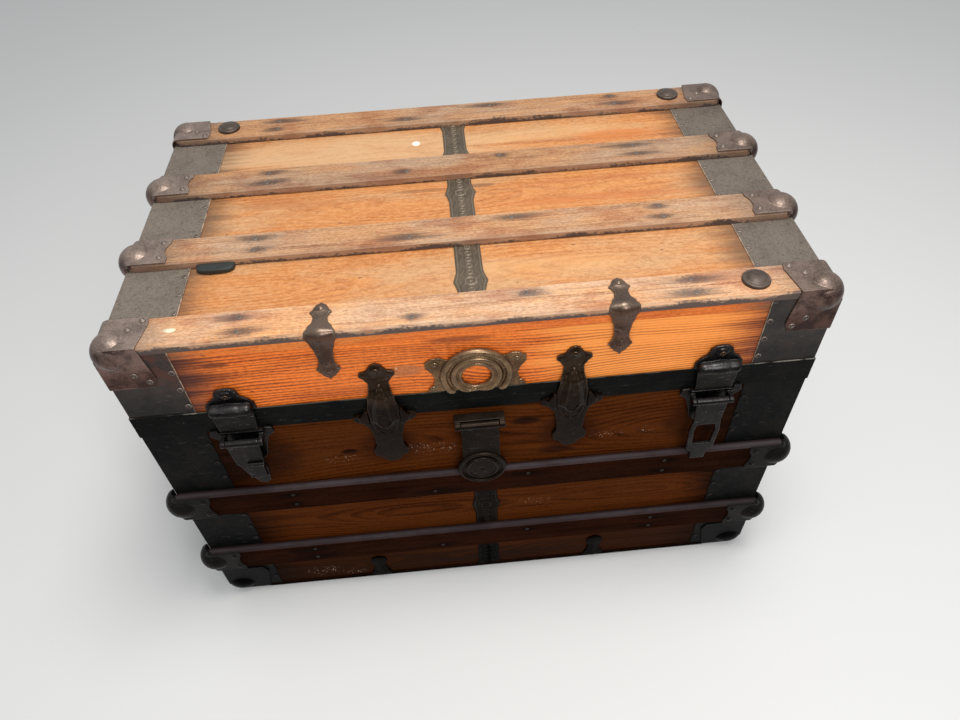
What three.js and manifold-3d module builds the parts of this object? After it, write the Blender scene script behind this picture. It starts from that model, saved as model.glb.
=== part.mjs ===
// Flat-topped wooden trunk with a hinged lid, lengthwise slats and pressed-metal fittings.
// Millimetres. Origin on the floor under the middle, +X to the right end, +Y to the back, +Z up.
import * as THREE from 'three';
import { mergeVertices } from 'three/addons/utils/BufferGeometryUtils.js';
import Module from 'manifold-3d';

const wasm = await Module();
wasm.setup();

// ---- driving dimensions -------------------------------------------------------------------

const LENGTH = 864;
const DEPTH = 506;
const SHOULDER = 573; // height of the plane that the lid slats sit on
const SEAM = 447; // height of the joint between case and lid
const BOARD = 12; // board thickness
const GAP = 0.3; // clearance between touching parts
const SHEET = 1; // end-wrap sheet metal
const BAND = 1; // seam bands
const SKID = 11; // bottom slats
const SKID_L = 744; // their length
const SLAT_W = 51;
const SLAT_T = 11;
const WRAP = 82; // how far the end wraps reach along the long faces

const HALF_L = LENGTH / 2;
const HALF_D = DEPTH / 2;
const LAYER = SHEET + 2 * GAP; // depth of the layer under the slats
const BOARD_X = HALF_L - LAYER; // outer face of the end boards
const BOARD_Y = HALF_D - LAYER; // outer face of the front and back boards
const BOARD_TOP = SHOULDER - LAYER;
const CASE_FLOOR = SKID + GAP;
const CASE_TOP = SEAM - 0.5;
const LID_BOTTOM = SEAM + 0.5;
const BAND_H = 18.5; // height of each half of the seam band
const BAND_Y = HALF_D + BAND; // outer face of the bands on the long faces
const BAND_X = HALF_L + BAND;
const PLATE_Y = BAND_Y + GAP; // plane that fittings crossing the bands lie on
const ROUND = 24; // segments of small round shapes
const NOSE_R = 9; // rounding of a slat's end, seen from its side
const PLAN_R = 13; // rounding of a slat's end, seen from above
const CAP_T = 1.6; // thickness of the end caps
const BALL_R = 24; // balls on the corners
const BALL_IN = 16; // how far a ball's centre sits inside the three faces of its corner

const LID_SLATS_Y = [-227.5, -77, 77, 227.5]; // centre lines, front to back
const FACE_SLATS_Z = [272, 117]; // centre lines on the front and on the back
const FACE_OUT = 7; // how far the slats on the front and back reach past the trunk's ends
const LATCH_X = 305;
const TONGUE_X = 121;
const HINGE_X = 240;
const RING_Z = 492; // centre of the lock ring on the lid
const HASP_Z = 408; // hasp hinge line
const HASP_Y = -(HALF_D + SLAT_T + 2.8);
const LATCH_PIVOT_Y = -(HALF_D + SLAT_T + 4.5);
const LATCH_PIVOT_Z = 417;
const HINGE_Y = HALF_D + 8.5;
const HANDLE_Z = 330;
const HANDLE_PIVOT_X = HALF_L + 12;
const HANDLE_SPAN = 150; // distance between the handle's two eyes

// ---- materials -----------------------------------------------------------------------------

function finish(color, roughness, metalness) {
  return new THREE.MeshStandardMaterial({ color, roughness, metalness });
}

const PINE = finish(0xb5703a, 0.6, 0);
const DARK_PINE = finish(0x5a2f1c, 0.65, 0);
const SLAT_WOOD = finish(0x7a5a45, 0.75, 0);
const SHEET_METAL = finish(0x35302e, 0.6, 0.7);
const BAND_METAL = finish(0x141816, 0.5, 0.6);
const CAP_METAL = finish(0x3a2b2c, 0.4, 0.8);
const BRASS = finish(0x4a3d30, 0.35, 0.9);
const LEATHER = finish(0x3b2216, 0.7, 0);

// ---- solids --------------------------------------------------------------------------------

const trunk = new THREE.Group();

// A manifold solid from a closed three.js geometry.
function solid(geometry) {
  const bare = geometry.index ? geometry.toNonIndexed() : geometry.clone();
  bare.deleteAttribute('normal');
  bare.deleteAttribute('uv');
  const merged = mergeVertices(bare, 1e-4);
  return new wasm.Manifold(new wasm.Mesh({
    numProp: 3,
    vertProperties: new Float32Array(merged.attributes.position.array),
    triVerts: new Uint32Array(merged.index.array),
  }));
}

function addMesh(name, shape, material) {
  const mesh = shape.getMesh();
  const geometry = new THREE.BufferGeometry();
  geometry.setAttribute('position', new THREE.BufferAttribute(new Float32Array(mesh.vertProperties), 3));
  geometry.setIndex(new THREE.BufferAttribute(new Uint32Array(mesh.triVerts), 1));
  const flat = geometry.toNonIndexed();
  flat.computeVertexNormals();
  const node = new THREE.Mesh(flat, material);
  node.name = name;
  trunk.add(node);
}

// Box between two corners.
function block(x0, x1, y0, y1, z0, z1) {
  const box = new THREE.BoxGeometry(Math.abs(x1 - x0), Math.abs(y1 - y0), Math.abs(z1 - z0));
  box.translate((x0 + x1) / 2, (y0 + y1) / 2, (z0 + z1) / 2);
  return solid(box);
}

// Cylinder about an axis 'x', 'y' or 'z'.
function rod(axis, radius, length, x, y, z, segments = ROUND) {
  const cylinder = new THREE.CylinderGeometry(radius, radius, length, segments);
  if (axis === 'x') cylinder.rotateZ(Math.PI / 2);
  if (axis === 'z') cylinder.rotateX(Math.PI / 2);
  cylinder.translate(x, y, z);
  return solid(cylinder);
}

function ellipsoid(rx, ry, rz, x, y, z, columns = 20, rows = 12) {
  const ball = new THREE.SphereGeometry(1, columns, rows);
  ball.scale(rx, ry, rz);
  ball.translate(x, y, z);
  return solid(ball);
}

// Plate on the front whose outline's (u, v) become X and Z. Its back is `back` in front of the
// trunk's middle plane, and it is `thick` deep.
function facePlate(shape, back, thick) {
  const plate = new THREE.ExtrudeGeometry(shape, { depth: thick, bevelEnabled: false, curveSegments: 8 });
  plate.rotateX(Math.PI / 2);
  plate.translate(0, -back, 0);
  return solid(plate);
}

// Closed outline through points [u, v], smoothed by a spline where smooth is true.
function outline(points, smooth = true) {
  const vectors = points.map(([u, v]) => new THREE.Vector2(u, v));
  if (!smooth) return new THREE.Shape(vectors);
  const loop = vectors.map((p) => new THREE.Vector3(p.x, p.y, 0));
  const curve = new THREE.CatmullRomCurve3(loop, true, 'catmullrom', 0.4);
  const steps = curve.getPoints(points.length * 3);
  steps.pop();
  return new THREE.Shape(steps.map((p) => new THREE.Vector2(p.x, p.y)));
}

// Outline that is the same on both sides of the line u = middle; points run down the right side.
function mirrored(middle, points, smooth = true) {
  const right = points.map(([u, v]) => [middle + u, v]);
  const left = points.filter(([u]) => u > 0).map(([u, v]) => [middle - u, v]).reverse();
  return outline([...right, ...left].reverse(), smooth);
}

// ---- rounded corners ------------------------------------------------------------------------

// Region of a corner outside its ball. sx, sy and sz give the corner's direction: sz is 1 for the
// lid's top corners and -1 for the case's lower ones.
function cornerTrim(sx, sy, sz, radius = BALL_R - CAP_T - GAP) {
  const level = sz > 0 ? SHOULDER + SLAT_T : CASE_FLOOR;
  const x = sx * (HALF_L - BALL_IN);
  const y = sy * (HALF_D - BALL_IN);
  const z = level - sz * BALL_IN;
  const reach = 2 * BALL_R;
  const cell = block(x, x + sx * reach, y, y + sy * reach, z, z + sz * reach);
  return cell.subtract(ellipsoid(radius, radius, radius, x, y, z, 32, 20));
}

// The four of them at the lid's top (sz = 1) or at the case's foot (sz = -1).
function cornerTrims(sz) {
  return cornerTrim(-1, -1, sz)
    .add(cornerTrim(1, -1, sz))
    .add(cornerTrim(-1, 1, sz))
    .add(cornerTrim(1, 1, sz));
}

// ---- boards and skins -----------------------------------------------------------------------

function addBoards() {
  const innerX = BOARD_X - BOARD;
  const innerY = BOARD_Y - BOARD;
  const lidTop = BOARD_TOP - BOARD - GAP;
  for (const [name, sign] of [['front', -1], ['back', 1]]) {
    const y0 = sign * BOARD_Y;
    const y1 = sign * innerY;
    const material = name === 'front' ? DARK_PINE : PINE;
    const wall = block(-BOARD_X, BOARD_X, y0, y1, CASE_FLOOR, CASE_TOP);
    addMesh(`case_${name}_board`, wall.subtract(cornerTrims(-1)), material);
    addMesh(`lid_${name}_board`, block(-BOARD_X, BOARD_X, y0, y1, LID_BOTTOM, lidTop), PINE);
  }
  for (const [name, sign] of [['left', -1], ['right', 1]]) {
    const x0 = sign * BOARD_X;
    const x1 = sign * innerX;
    const y = innerY - GAP;
    addMesh(`case_${name}_board`, block(x0, x1, -y, y, CASE_FLOOR, CASE_TOP), PINE);
    addMesh(`lid_${name}_board`, block(x0, x1, -y, y, LID_BOTTOM, lidTop), PINE);
  }
  const floorX = innerX - GAP;
  const floorY = innerY - GAP;
  addMesh('case_bottom_board',
    block(-floorX, floorX, -floorY, floorY, CASE_FLOOR, CASE_FLOOR + BOARD), PINE);
  addMesh('lid_top_board',
    block(-BOARD_X, BOARD_X, -BOARD_Y, BOARD_Y, BOARD_TOP - BOARD, BOARD_TOP), PINE);
}

// Sheet-metal wraps over the ends, turned round onto the long faces and, on the lid, the top.
function addWraps() {
  const inX = BOARD_X + GAP;
  const inY = BOARD_Y + GAP;
  const edge = HALF_L - WRAP;
  for (const [name, sign] of [['left', -1], ['right', 1]]) {
    const caseOuter = block(sign * edge, sign * (inX + SHEET), -inY - SHEET, inY + SHEET,
      CASE_FLOOR, CASE_TOP - GAP);
    const caseInner = block(sign * (edge - 1), sign * inX, -inY, inY, 0, SHOULDER);
    const caseWrap = caseOuter.subtract(caseInner).subtract(cornerTrims(-1));
    addMesh(`case_${name}_wrap`, caseWrap, SHEET_METAL);
    const lidOuter = block(sign * edge, sign * (inX + SHEET), -inY - SHEET, inY + SHEET,
      LID_BOTTOM + GAP, BOARD_TOP + GAP + SHEET);
    const lidInner = block(sign * (edge - 1), sign * inX, -inY, inY, 0, BOARD_TOP + GAP);
    const lidWrap = lidOuter.subtract(lidInner).subtract(cornerTrims(1));
    addMesh(`lid_${name}_wrap`, lidWrap, SHEET_METAL);
  }
}

function bandRing(bottom, top, grow = 0) {
  const outer = block(-BAND_X - grow, BAND_X + grow, -BAND_Y - grow, BAND_Y + grow,
    bottom - grow, top + grow);
  const inner = block(-HALF_L, HALF_L, -HALF_D, HALF_D, bottom - 2, top + 2);
  return outer.subtract(inner);
}

function addBands() {
  addMesh('case_band', bandRing(SEAM - BAND_H - 0.5, CASE_TOP), BAND_METAL);
  addMesh('lid_band', bandRing(LID_BOTTOM, SEAM + BAND_H + 0.5), BAND_METAL);
}

// ---- slats ----------------------------------------------------------------------------------

// Slat lying on the plane z = 0 along X, its two long upper edges eased.
function slatGeometry(length, ease) {
  const half = SLAT_W / 2;
  const profile = outline([
    [-half, 0], [half, 0], [half, SLAT_T - ease], [half - ease, SLAT_T],
    [ease - half, SLAT_T], [-half, SLAT_T - ease],
  ], false);
  const slat = new THREE.ExtrudeGeometry(profile, { depth: length, bevelEnabled: false });
  slat.rotateX(Math.PI / 2);
  slat.rotateZ(Math.PI / 2);
  slat.translate(-length / 2, 0, 0);
  return slat;
}

// Moves a slat's or cap's local frame onto the lid top, the front or the back.
const toLidTop = (y) => new THREE.Matrix4().makeTranslation(0, y, SHOULDER);
const toFace = (z, side) => new THREE.Matrix4().makeTranslation(0, side * HALF_D, z)
  .multiply(new THREE.Matrix4().makeRotationX(side < 0 ? Math.PI / 2 : -Math.PI / 2));
const toFloor = (y) => new THREE.Matrix4().makeTranslation(0, y, SKID)
  .multiply(new THREE.Matrix4().makeRotationX(Math.PI));

function placed(shape, matrix) {
  return shape.transform(matrix.elements);
}

// Room inside a slat's rounded ends, grown all round by `grow`: the slat lies on z = 0 from `start`
// to the trunk's end and reaches `drop` below that plane.
function noseForm(start, grow, drop) {
  const half = SLAT_W / 2;
  const side = wasm.Manifold.hull([
    rod('y', NOSE_R + grow, SLAT_W + 2 * grow, HALF_L - NOSE_R, 0, SLAT_T - NOSE_R, 32),
    block(start, start + 1, -half - grow, half + grow, -drop, SLAT_T + grow),
    block(start, HALF_L + grow, -half - grow, half + grow, -drop, -drop + 1),
  ]);
  const tall = 4 * SLAT_T + 2 * drop;
  const inset = half - PLAN_R;
  const plan = wasm.Manifold.hull([
    rod('z', PLAN_R + grow, tall, HALF_L - PLAN_R, inset, 0, 32),
    rod('z', PLAN_R + grow, tall, HALF_L - PLAN_R, -inset, 0, 32),
    block(start, start + 1, -half - grow, half + grow, -tall / 2, tall / 2),
  ]);
  return side.intersect(plan);
}

const TURN = new THREE.Matrix4().makeRotationZ(Math.PI);
const EASE = 2.5; // easing of a slat's long edges

const outwards = (shape, distance) => placed(shape, new THREE.Matrix4().makeTranslation(distance, 0, 0));

// Slat with rounded ends, each `past` beyond the trunk's end.
function slatBody(past) {
  const right = outwards(noseForm(-1 - past, 0, 1), past);
  const ends = right.add(placed(right, TURN));
  return solid(slatGeometry(LENGTH + 2 * past, EASE)).intersect(ends);
}

function addSlats() {
  const lidSlat = slatBody(0);
  LID_SLATS_Y.forEach((y, i) => {
    const onLid = placed(lidSlat, toLidTop(y)).subtract(cornerTrims(1));
    addMesh(`lid_slat_${i + 1}`, onLid, SLAT_WOOD);
  });
  const faceSlat = slatBody(FACE_OUT);
  FACE_SLATS_Z.forEach((z, i) => {
    const level = i === 0 ? 'upper' : 'lower';
    addMesh(`front_slat_${level}`, placed(faceSlat, toFace(z, -1)), SLAT_WOOD);
    addMesh(`back_slat_${level}`, placed(faceSlat, toFace(z, 1)), SLAT_WOOD);
  });
  const skid = solid(slatGeometry(SKID_L, EASE));
  addMesh('bottom_slat_front', placed(skid, toFloor(LID_SLATS_Y[0])), SLAT_WOOD);
  addMesh('bottom_slat_back', placed(skid, toFloor(LID_SLATS_Y[3])), SLAT_WOOD);
}

// ---- slat end caps --------------------------------------------------------------------------

const CAP_LENGTH = 54;
const BULB_X = 25; // half-axes of the bulb
const BULB_Z = 24;
const BULB_IN = 10; // how far its middle sits inside the trunk's end
const BULB_LOW = 4; // how far its middle sits below the slat's seat
const CAP_DROP = 12; // how far a cap reaches down the trunk's end
const CAP_SIDE = 5; // how far it turns down the slat's sides
const CAP_CUT = 3; // where the turn down the end begins, inside the trunk's end
const SCALLOP_R = 26;
const SCALLOP_DEPTH = 5;

// Cap on the +X end of a slat lying on z = 0: a plate with a scalloped inner edge that follows the
// slat's rounded end down, and a bulb on the turn.
function slatCap() {
  const half = SLAT_W / 2;
  const start = HALF_L - CAP_LENGTH;
  const bulb = ellipsoid(BULB_X, half, BULB_Z, HALF_L - BULB_IN, 0, -BULB_LOW, 28, 16);
  const shell = noseForm(start, GAP + CAP_T, CAP_DROP);
  const room = noseForm(start - 1, GAP, SHOULDER);
  const sides = block(0, LENGTH, -half, half, -CAP_DROP, 2 * SLAT_T);
  const scallop = rod('z', SCALLOP_R, 60, start + SCALLOP_DEPTH - SCALLOP_R, 0, SLAT_T, 36);
  const wall = block(start - 1, HALF_L + GAP, -half - 1, half + 1, -SHOULDER, GAP);
  const flanks = block(start - 1, HALF_L - CAP_CUT, -half - 1, half + 1, -SHOULDER, SLAT_T - CAP_SIDE);
  return shell.add(bulb).intersect(sides).subtract(room).subtract(wall).subtract(flanks)
    .subtract(scallop);
}

function addSlatCaps() {
  const lidCap = slatCap();
  const faceCap = outwards(lidCap, FACE_OUT);
  for (const side of ['left', 'right']) {
    const turned = (cap) => (side === 'left' ? placed(cap, TURN) : cap);
    for (const i of [1, 2]) {
      const place = toLidTop(LID_SLATS_Y[i]);
      addMesh(`lid_slat_${i + 1}_cap_${side}`, placed(turned(lidCap), place), CAP_METAL);
    }
    FACE_SLATS_Z.forEach((z, i) => {
      const level = i === 0 ? 'upper' : 'lower';
      addMesh(`front_slat_${level}_cap_${side}`, placed(turned(faceCap), toFace(z, -1)), CAP_METAL);
    });
  }
}

// ---- ball corners of the lid ----------------------------------------------------------------

const LEAF_TOP = 58; // reach of the top leaf along X at its rear
const LEAF_NOTCH = 47; // reach of the leaves at the edge between them
const LEAF_DROP = 64; // reach of the upright leaves below the slat's top

// Prism over a polygon of [u, v] points, from w0 to w1. axis is the direction of w.
function prism(axis, points, w0, w1) {
  const corners = points.flatMap(([u, v]) => [w0, w1].map((w) => {
    if (axis === 'x') return [w, u, v];
    if (axis === 'y') return [u, w, v];
    return [u, v, w];
  }));
  return wasm.Manifold.hull(corners);
}

// The corner's envelope grown by `grow`, with the rounding of the slat's end.
function cornerForm(sx, sy, grow) {
  const top = SHOULDER + SLAT_T;
  const far = 120;
  const y0 = sy * (HALF_D - SLAT_W);
  const y1 = sy * (HALF_D + grow);
  const nose = rod('y', NOSE_R + grow, SLAT_W + grow, sx * (HALF_L - NOSE_R), (y0 + y1) / 2,
    top - NOSE_R, 32);
  return wasm.Manifold.hull([
    nose,
    block(sx * (HALF_L - far), sx * (HALF_L - far + 1), y0, y1, top - far, top + grow),
    block(sx * (HALF_L - far), sx * (HALF_L + grow), y0, y1, top - far, top - far + 1),
  ]);
}

function cornerCap(sx, sy) {
  const top = SHOULDER + SLAT_T;
  const out = BALL_R;
  const x = (inset) => sx * (HALF_L - inset);
  const y = (inset) => sy * (HALF_D - inset);
  const z = (drop) => top - drop;
  const topLeaf = prism('z', [
    [x(-out), y(-out)], [x(LEAF_NOTCH), y(-out)], [x(LEAF_TOP), y(SLAT_W - 12)],
    [x(LEAF_TOP - 2), y(SLAT_W)], [x(-out), y(SLAT_W)],
  ], z(NOSE_R), z(-out));
  const faceLeaf = prism('y', [
    [x(-out), z(-out)], [x(LEAF_NOTCH), z(-out)], [x(LEAF_NOTCH), z(SLAT_T)],
    [x(LEAF_TOP), z(LEAF_DROP - 14)], [x(LEAF_TOP - 6), z(LEAF_DROP)], [x(-out), z(LEAF_DROP)],
  ], y(0), y(-out));
  const endLeaf = prism('x', [
    [y(-out), z(-out)], [y(SLAT_W), z(-out)], [y(SLAT_W), z(LEAF_DROP - 14)],
    [y(SLAT_W - 8), z(LEAF_DROP)], [y(-out), z(LEAF_DROP)],
  ], x(NOSE_R), x(-out));
  const ball = ellipsoid(BALL_R, BALL_R, BALL_R, x(BALL_IN), y(BALL_IN), z(BALL_IN), 32, 20);
  const hollow = cornerForm(sx, sy, GAP).subtract(cornerTrim(sx, sy, 1, BALL_R - CAP_T));
  return topLeaf.add(faceLeaf).add(endLeaf)
    .intersect(cornerForm(sx, sy, GAP + CAP_T).subtract(cornerTrim(sx, sy, 1, BALL_R)))
    .add(ball)
    .subtract(hollow)
    .subtract(block(x(LENGTH / 4), x(NOSE_R), y(DEPTH / 4), y(0), 0, z(-GAP)));
}

function addCornerCaps() {
  for (const [side, sx] of [['left', -1], ['right', 1]]) {
    for (const [face, sy] of [['front', -1], ['back', 1]]) {
      addMesh(`lid_corner_${face}_${side}`, cornerCap(sx, sy), CAP_METAL);
    }
  }
}

// ---- lock ring, hasp ------------------------------------------------------------------------

const RING_OUT = 45;
const RING_IN = 18.5;
const RING_T = 6; // height of its outer rim
const HASP_ARM = 92; // from the hasp's hinge line to the middle of its disc
const HASP_T = 3;
const HASP_R = 34; // radius of its disc
const BARREL_HALF = 33; // half length of the hasp's hinge
const LIP_TOP = HASP_Z + 7.4; // top of the bracket's lip

function addLockRing() {
  const back = BOARD_Y + GAP;
  const ears = mirrored(0, [
    [0, 22], [36, 30], [44, 34], [54, 33], [62, 27], [62, 18], [55, 9], [51, -2], [54, -14],
    [61, -22], [62, -32], [0, -32],
  ], false);
  const plate = placed(facePlate(ears, back, 2.5), new THREE.Matrix4().makeTranslation(0, 0, RING_Z));
  const disc = (radius, thick) => rod('y', radius, thick, 0, -back - thick / 2, RING_Z, 40);
  const cutter = (radius, from) => rod('y', radius, 20, 0, -back - from - 10, RING_Z, 40);
  const ring = disc(RING_OUT, RING_T)
    .subtract(cutter(RING_OUT - 8, RING_T - 2.5))
    .add(disc(RING_IN + 14, RING_T - 0.5))
    .subtract(cutter(RING_IN + 4, RING_T - 2));
  const clear = bandRing(LID_BOTTOM, SEAM + BAND_H + 0.5, GAP);
  const low = block(-80, 80, -HALF_D - 40, -HALF_D + 10, 0, SEAM + BAND_H + 0.8);
  addMesh('lid_lock_ring',
    plate.add(ring).subtract(disc(RING_IN, 40)).subtract(clear).subtract(low), BRASS);
}

function addHasp() {
  const back = BOARD_Y + GAP;
  const knuckle = 8;
  const bracketPlate = block(-BARREL_HALF, BARREL_HALF, -back, -back - 2, HASP_Z - 12, LIP_TOP);
  const room = block(-BARREL_HALF + knuckle - 0.4, BARREL_HALF - knuckle + 0.4,
    -back - 2, HASP_Y - 20, HASP_Z - 20, HASP_Z + 20);
  const arms = block(-BARREL_HALF, BARREL_HALF, -back, HASP_Y, HASP_Z - 5.5, HASP_Z + 5.5)
    .add(rod('x', 5.5, 2 * BARREL_HALF, 0, HASP_Y, HASP_Z))
    .subtract(room);
  const lip = block(-BARREL_HALF, BARREL_HALF, -back, HASP_Y + 2.2, LIP_TOP - 2, LIP_TOP);
  addMesh('hasp_bracket', bracketPlate.add(arms).add(lip), BRASS);

  const strapHalf = BARREL_HALF - knuckle;
  const barrel = rod('x', 5, 2 * strapHalf, 0, HASP_Y, HASP_Z);
  const drop = HASP_Z - HASP_ARM;
  const face = HASP_Y - HASP_T / 2;
  const strap = block(-strapHalf, strapHalf, HASP_Y - HASP_T / 2, HASP_Y + HASP_T / 2, drop, HASP_Z);
  const disc = rod('y', HASP_R, HASP_T, 0, HASP_Y, drop, 48);
  const rim = rod('y', HASP_R - 1, 3, 0, face - 0.5, drop, 48)
    .subtract(rod('y', HASP_R - 4.5, 10, 0, face - 5, drop, 48));
  const middle = rod('y', 22, 4, 0, face - 0.5, drop, 40)
    .subtract(rod('y', 2, 2, 0, face - 2.5, drop, 12));
  addMesh('hasp', barrel.add(strap).add(disc).add(rim).add(middle), BRASS);
}

// ---- locator tongues and sockets ------------------------------------------------------------

const SOCKET_FRONT = PLATE_Y + 3;

// Raised shield on a tongue: a pointed arch that swells towards the foot.
function shield(x) {
  const front = -SOCKET_FRONT - 2;
  return wasm.Manifold.hull([
    block(x - 1, x + 1, front, front - 1, 484, 486),
    block(x - 11, x + 11, front, front - 2, 458, 462),
    ellipsoid(17, 5, 10, x, front, 440, 20, 12),
    block(x - 14, x + 14, front, front - 2.5, 424, 430),
  ]);
}

function addLocators() {
  const board = BOARD_Y + GAP;
  for (const [side, x] of [['left', -TONGUE_X], ['right', TONGUE_X]]) {
    const knobShape = mirrored(x, [
      [0, 526], [7, 524], [11, 516], [21, 513], [23, 504], [16, 496], [13, 484], [18, 466],
      [0, 466],
    ], false);
    const knob = facePlate(knobShape, board, 3)
      .add(ellipsoid(10, 4, 10, x, -board - 2.5, 514, 16, 10)
        .subtract(block(x - 12, x + 12, 0, -board, 480, 540)));
    const stripShape = mirrored(x, [
      [0, 492], [12, 488], [17, 470], [20, 446], [19, 424], [15, 408], [8, 399], [0, 396],
    ], false);
    const behind = block(x - 60, x + 60, 0, -SOCKET_FRONT - GAP, 0, LID_BOTTOM + BAND_H);
    const band = bandRing(LID_BOTTOM - 60, SEAM + BAND_H + 0.5, GAP);
    const strip = facePlate(stripShape, board, SOCKET_FRONT + GAP - board + 3);
    const tongue = knob.add(strip).add(shield(x)).subtract(band).subtract(behind);
    addMesh(`lid_tongue_${side}`, tongue, BRASS);

    const socketShape = mirrored(x, [
      [0, 446], [24, 446], [30, 438], [40, 434], [40, 425], [28, 418], [22, 408], [19, 390],
      [18, 372], [23, 360], [22, 349], [14, 345], [10, 338], [4, 334], [0, 334],
    ], false);
    const wings = mirrored(x, [[21, 446], [24, 446], [29, 438], [33, 434], [31, 424], [21, 416]], false);
    const plate = facePlate(socketShape, board, SOCKET_FRONT - board)
      .subtract(bandRing(SEAM - BAND_H - 0.5, CASE_TOP + 40, GAP));
    const guards = facePlate(wings, PLATE_Y, 6)
      .subtract(block(x - 20.5, x + 20.5, 0, -400, 380, 460));
    addMesh(`case_socket_${side}`, plate.add(guards), BRASS);
  }
}

// ---- draw-bolt latches ----------------------------------------------------------------------

const ROLL_R = 8.5; // rolled front of a catch
const ROLL_Z = 473;
const LEVER_T = 4.5;
const LEVER_HALF = 21; // half length of a lever's barrel

function addLatches() {
  const onWrap = HALF_D + GAP;
  for (const [side, sx] of [['left', -1], ['right', 1]]) {
    const x = sx * LATCH_X;
    const headShape = mirrored(x, [
      [0, 507], [8, 506], [14, 501], [16, 492], [24, 486], [30, 478], [31, 468], [0, 468],
    ], false);
    const rollY = -(PLATE_Y + ROLL_R - 2);
    const rollHalf = 28;
    const head = facePlate(headShape, onWrap, 3.5)
      .add(ellipsoid(9, 4, 8, x, -onWrap - 3, 496, 16, 10)
        .subtract(block(x - 12, x + 12, 0, -onWrap, 480, 510)));
    const rollEnd = (sign) => ellipsoid(ROLL_R, ROLL_R, ROLL_R, x + sign * (rollHalf - ROLL_R), rollY,
      ROLL_Z, 24, 16);
    const roll = wasm.Manifold.hull([rollEnd(-1), rollEnd(1)])
      .add(ellipsoid(rollHalf - 3, ROLL_R + 1.2, ROLL_R + 1.2, x, rollY, ROLL_Z, 24, 16))
      .add(block(x - rollHalf + 3, x + rollHalf - 3, -onWrap, rollY, ROLL_Z - 6, ROLL_Z + 6));
    const apronShape = mirrored(x, [[0, ROLL_Z], [27, ROLL_Z], [24, 434], [0, 434]], false);
    const apron = facePlate(apronShape, PLATE_Y, 7);
    const catchShape = head.add(roll).add(apron)
      .subtract(block(x - rollHalf, x + rollHalf, 0, -onWrap, SEAM, SHOULDER))
      .subtract(bandRing(LID_BOTTOM - 20, SEAM + BAND_H + 0.5, GAP));
    addMesh(`latch_catch_${side}`, catchShape, BRASS);

    const baseShape = mirrored(x, [
      [0, 426], [27, 426], [30, 431], [39, 430], [41, 421], [32, 413], [27, 398], [22, 376],
      [12, 364], [0, 360],
    ], false);
    const base = facePlate(baseShape, onWrap, 4.5)
      .subtract(bandRing(SEAM - BAND_H - 0.5, CASE_TOP + 40, GAP));
    const outer = LEVER_HALF + 6;
    const inner = LEVER_HALF + 0.5;
    const lugs = block(x - outer, x + outer, -onWrap - 2, LATCH_PIVOT_Y, LATCH_PIVOT_Z - 5,
      LATCH_PIVOT_Z + 5)
      .add(rod('x', 5, 2 * outer, x, LATCH_PIVOT_Y, LATCH_PIVOT_Z))
      .subtract(block(x - inner, x + inner, -onWrap - 4.5, -400, 380, 450));
    addMesh(`latch_base_${side}`, base.add(lugs), BRASS);
    addMesh(`latch_lever_${side}`, sx < 0 ? shortLever(x) : longLever(x), BRASS);
  }
}

// What both levers hang from: a barrel and a tapering plate.
function leverHead(x, drop) {
  const top = LATCH_PIVOT_Z;
  const plate = mirrored(x, [[0, top], [LEVER_HALF, top], [18, top - drop], [0, top - drop]], false);
  return facePlate(plate, -LATCH_PIVOT_Y - LEVER_T / 2, LEVER_T)
    .add(rod('x', 5, 2 * LEVER_HALF, x, LATCH_PIVOT_Y, top));
}

// Lever with a square stirrup below it and a narrow tab at its foot.
function longLever(x) {
  const top = LATCH_PIVOT_Z;
  const back = -LATCH_PIVOT_Y - LEVER_T / 2;
  const arms = mirrored(x, [
    [0, top - 40], [18.5, top - 40], [21, top - 60], [19, top - 98], [15, top - 105],
    [11, top - 108], [10, top - 124], [0, top - 124],
  ], false);
  const window = mirrored(x, [
    [0, top - 48], [12, top - 48], [14.5, top - 60], [12, top - 90], [0, top - 90],
  ], false);
  return leverHead(x, 44)
    .add(facePlate(arms, back, LEVER_T))
    .subtract(facePlate(window, back - 5, LEVER_T + 10));
}

// Lever that ends in a pointed foot leaning towards the trunk's middle, with a square boss.
function shortLever(x) {
  const top = LATCH_PIVOT_Z;
  const back = -LATCH_PIVOT_Y - LEVER_T / 2;
  const foot = outline([
    [x - 17, top - 40], [x - 8, top - 66], [x + 3, top - 85], [x + 11, top - 88],
    [x + 18, top - 81], [x + 20, top - 56], [x + 18, top - 40],
  ], false);
  const boss = block(x - 4, x + 18, LATCH_PIVOT_Y, LATCH_PIVOT_Y - 8, top - 66, top - 42);
  return leverHead(x, 44).add(facePlate(foot, back, LEVER_T)).add(boss);
}

// ---- lid hinges -----------------------------------------------------------------------------

const KNUCKLE_R = 4.2;
const HINGE_HALF = 32;

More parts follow.
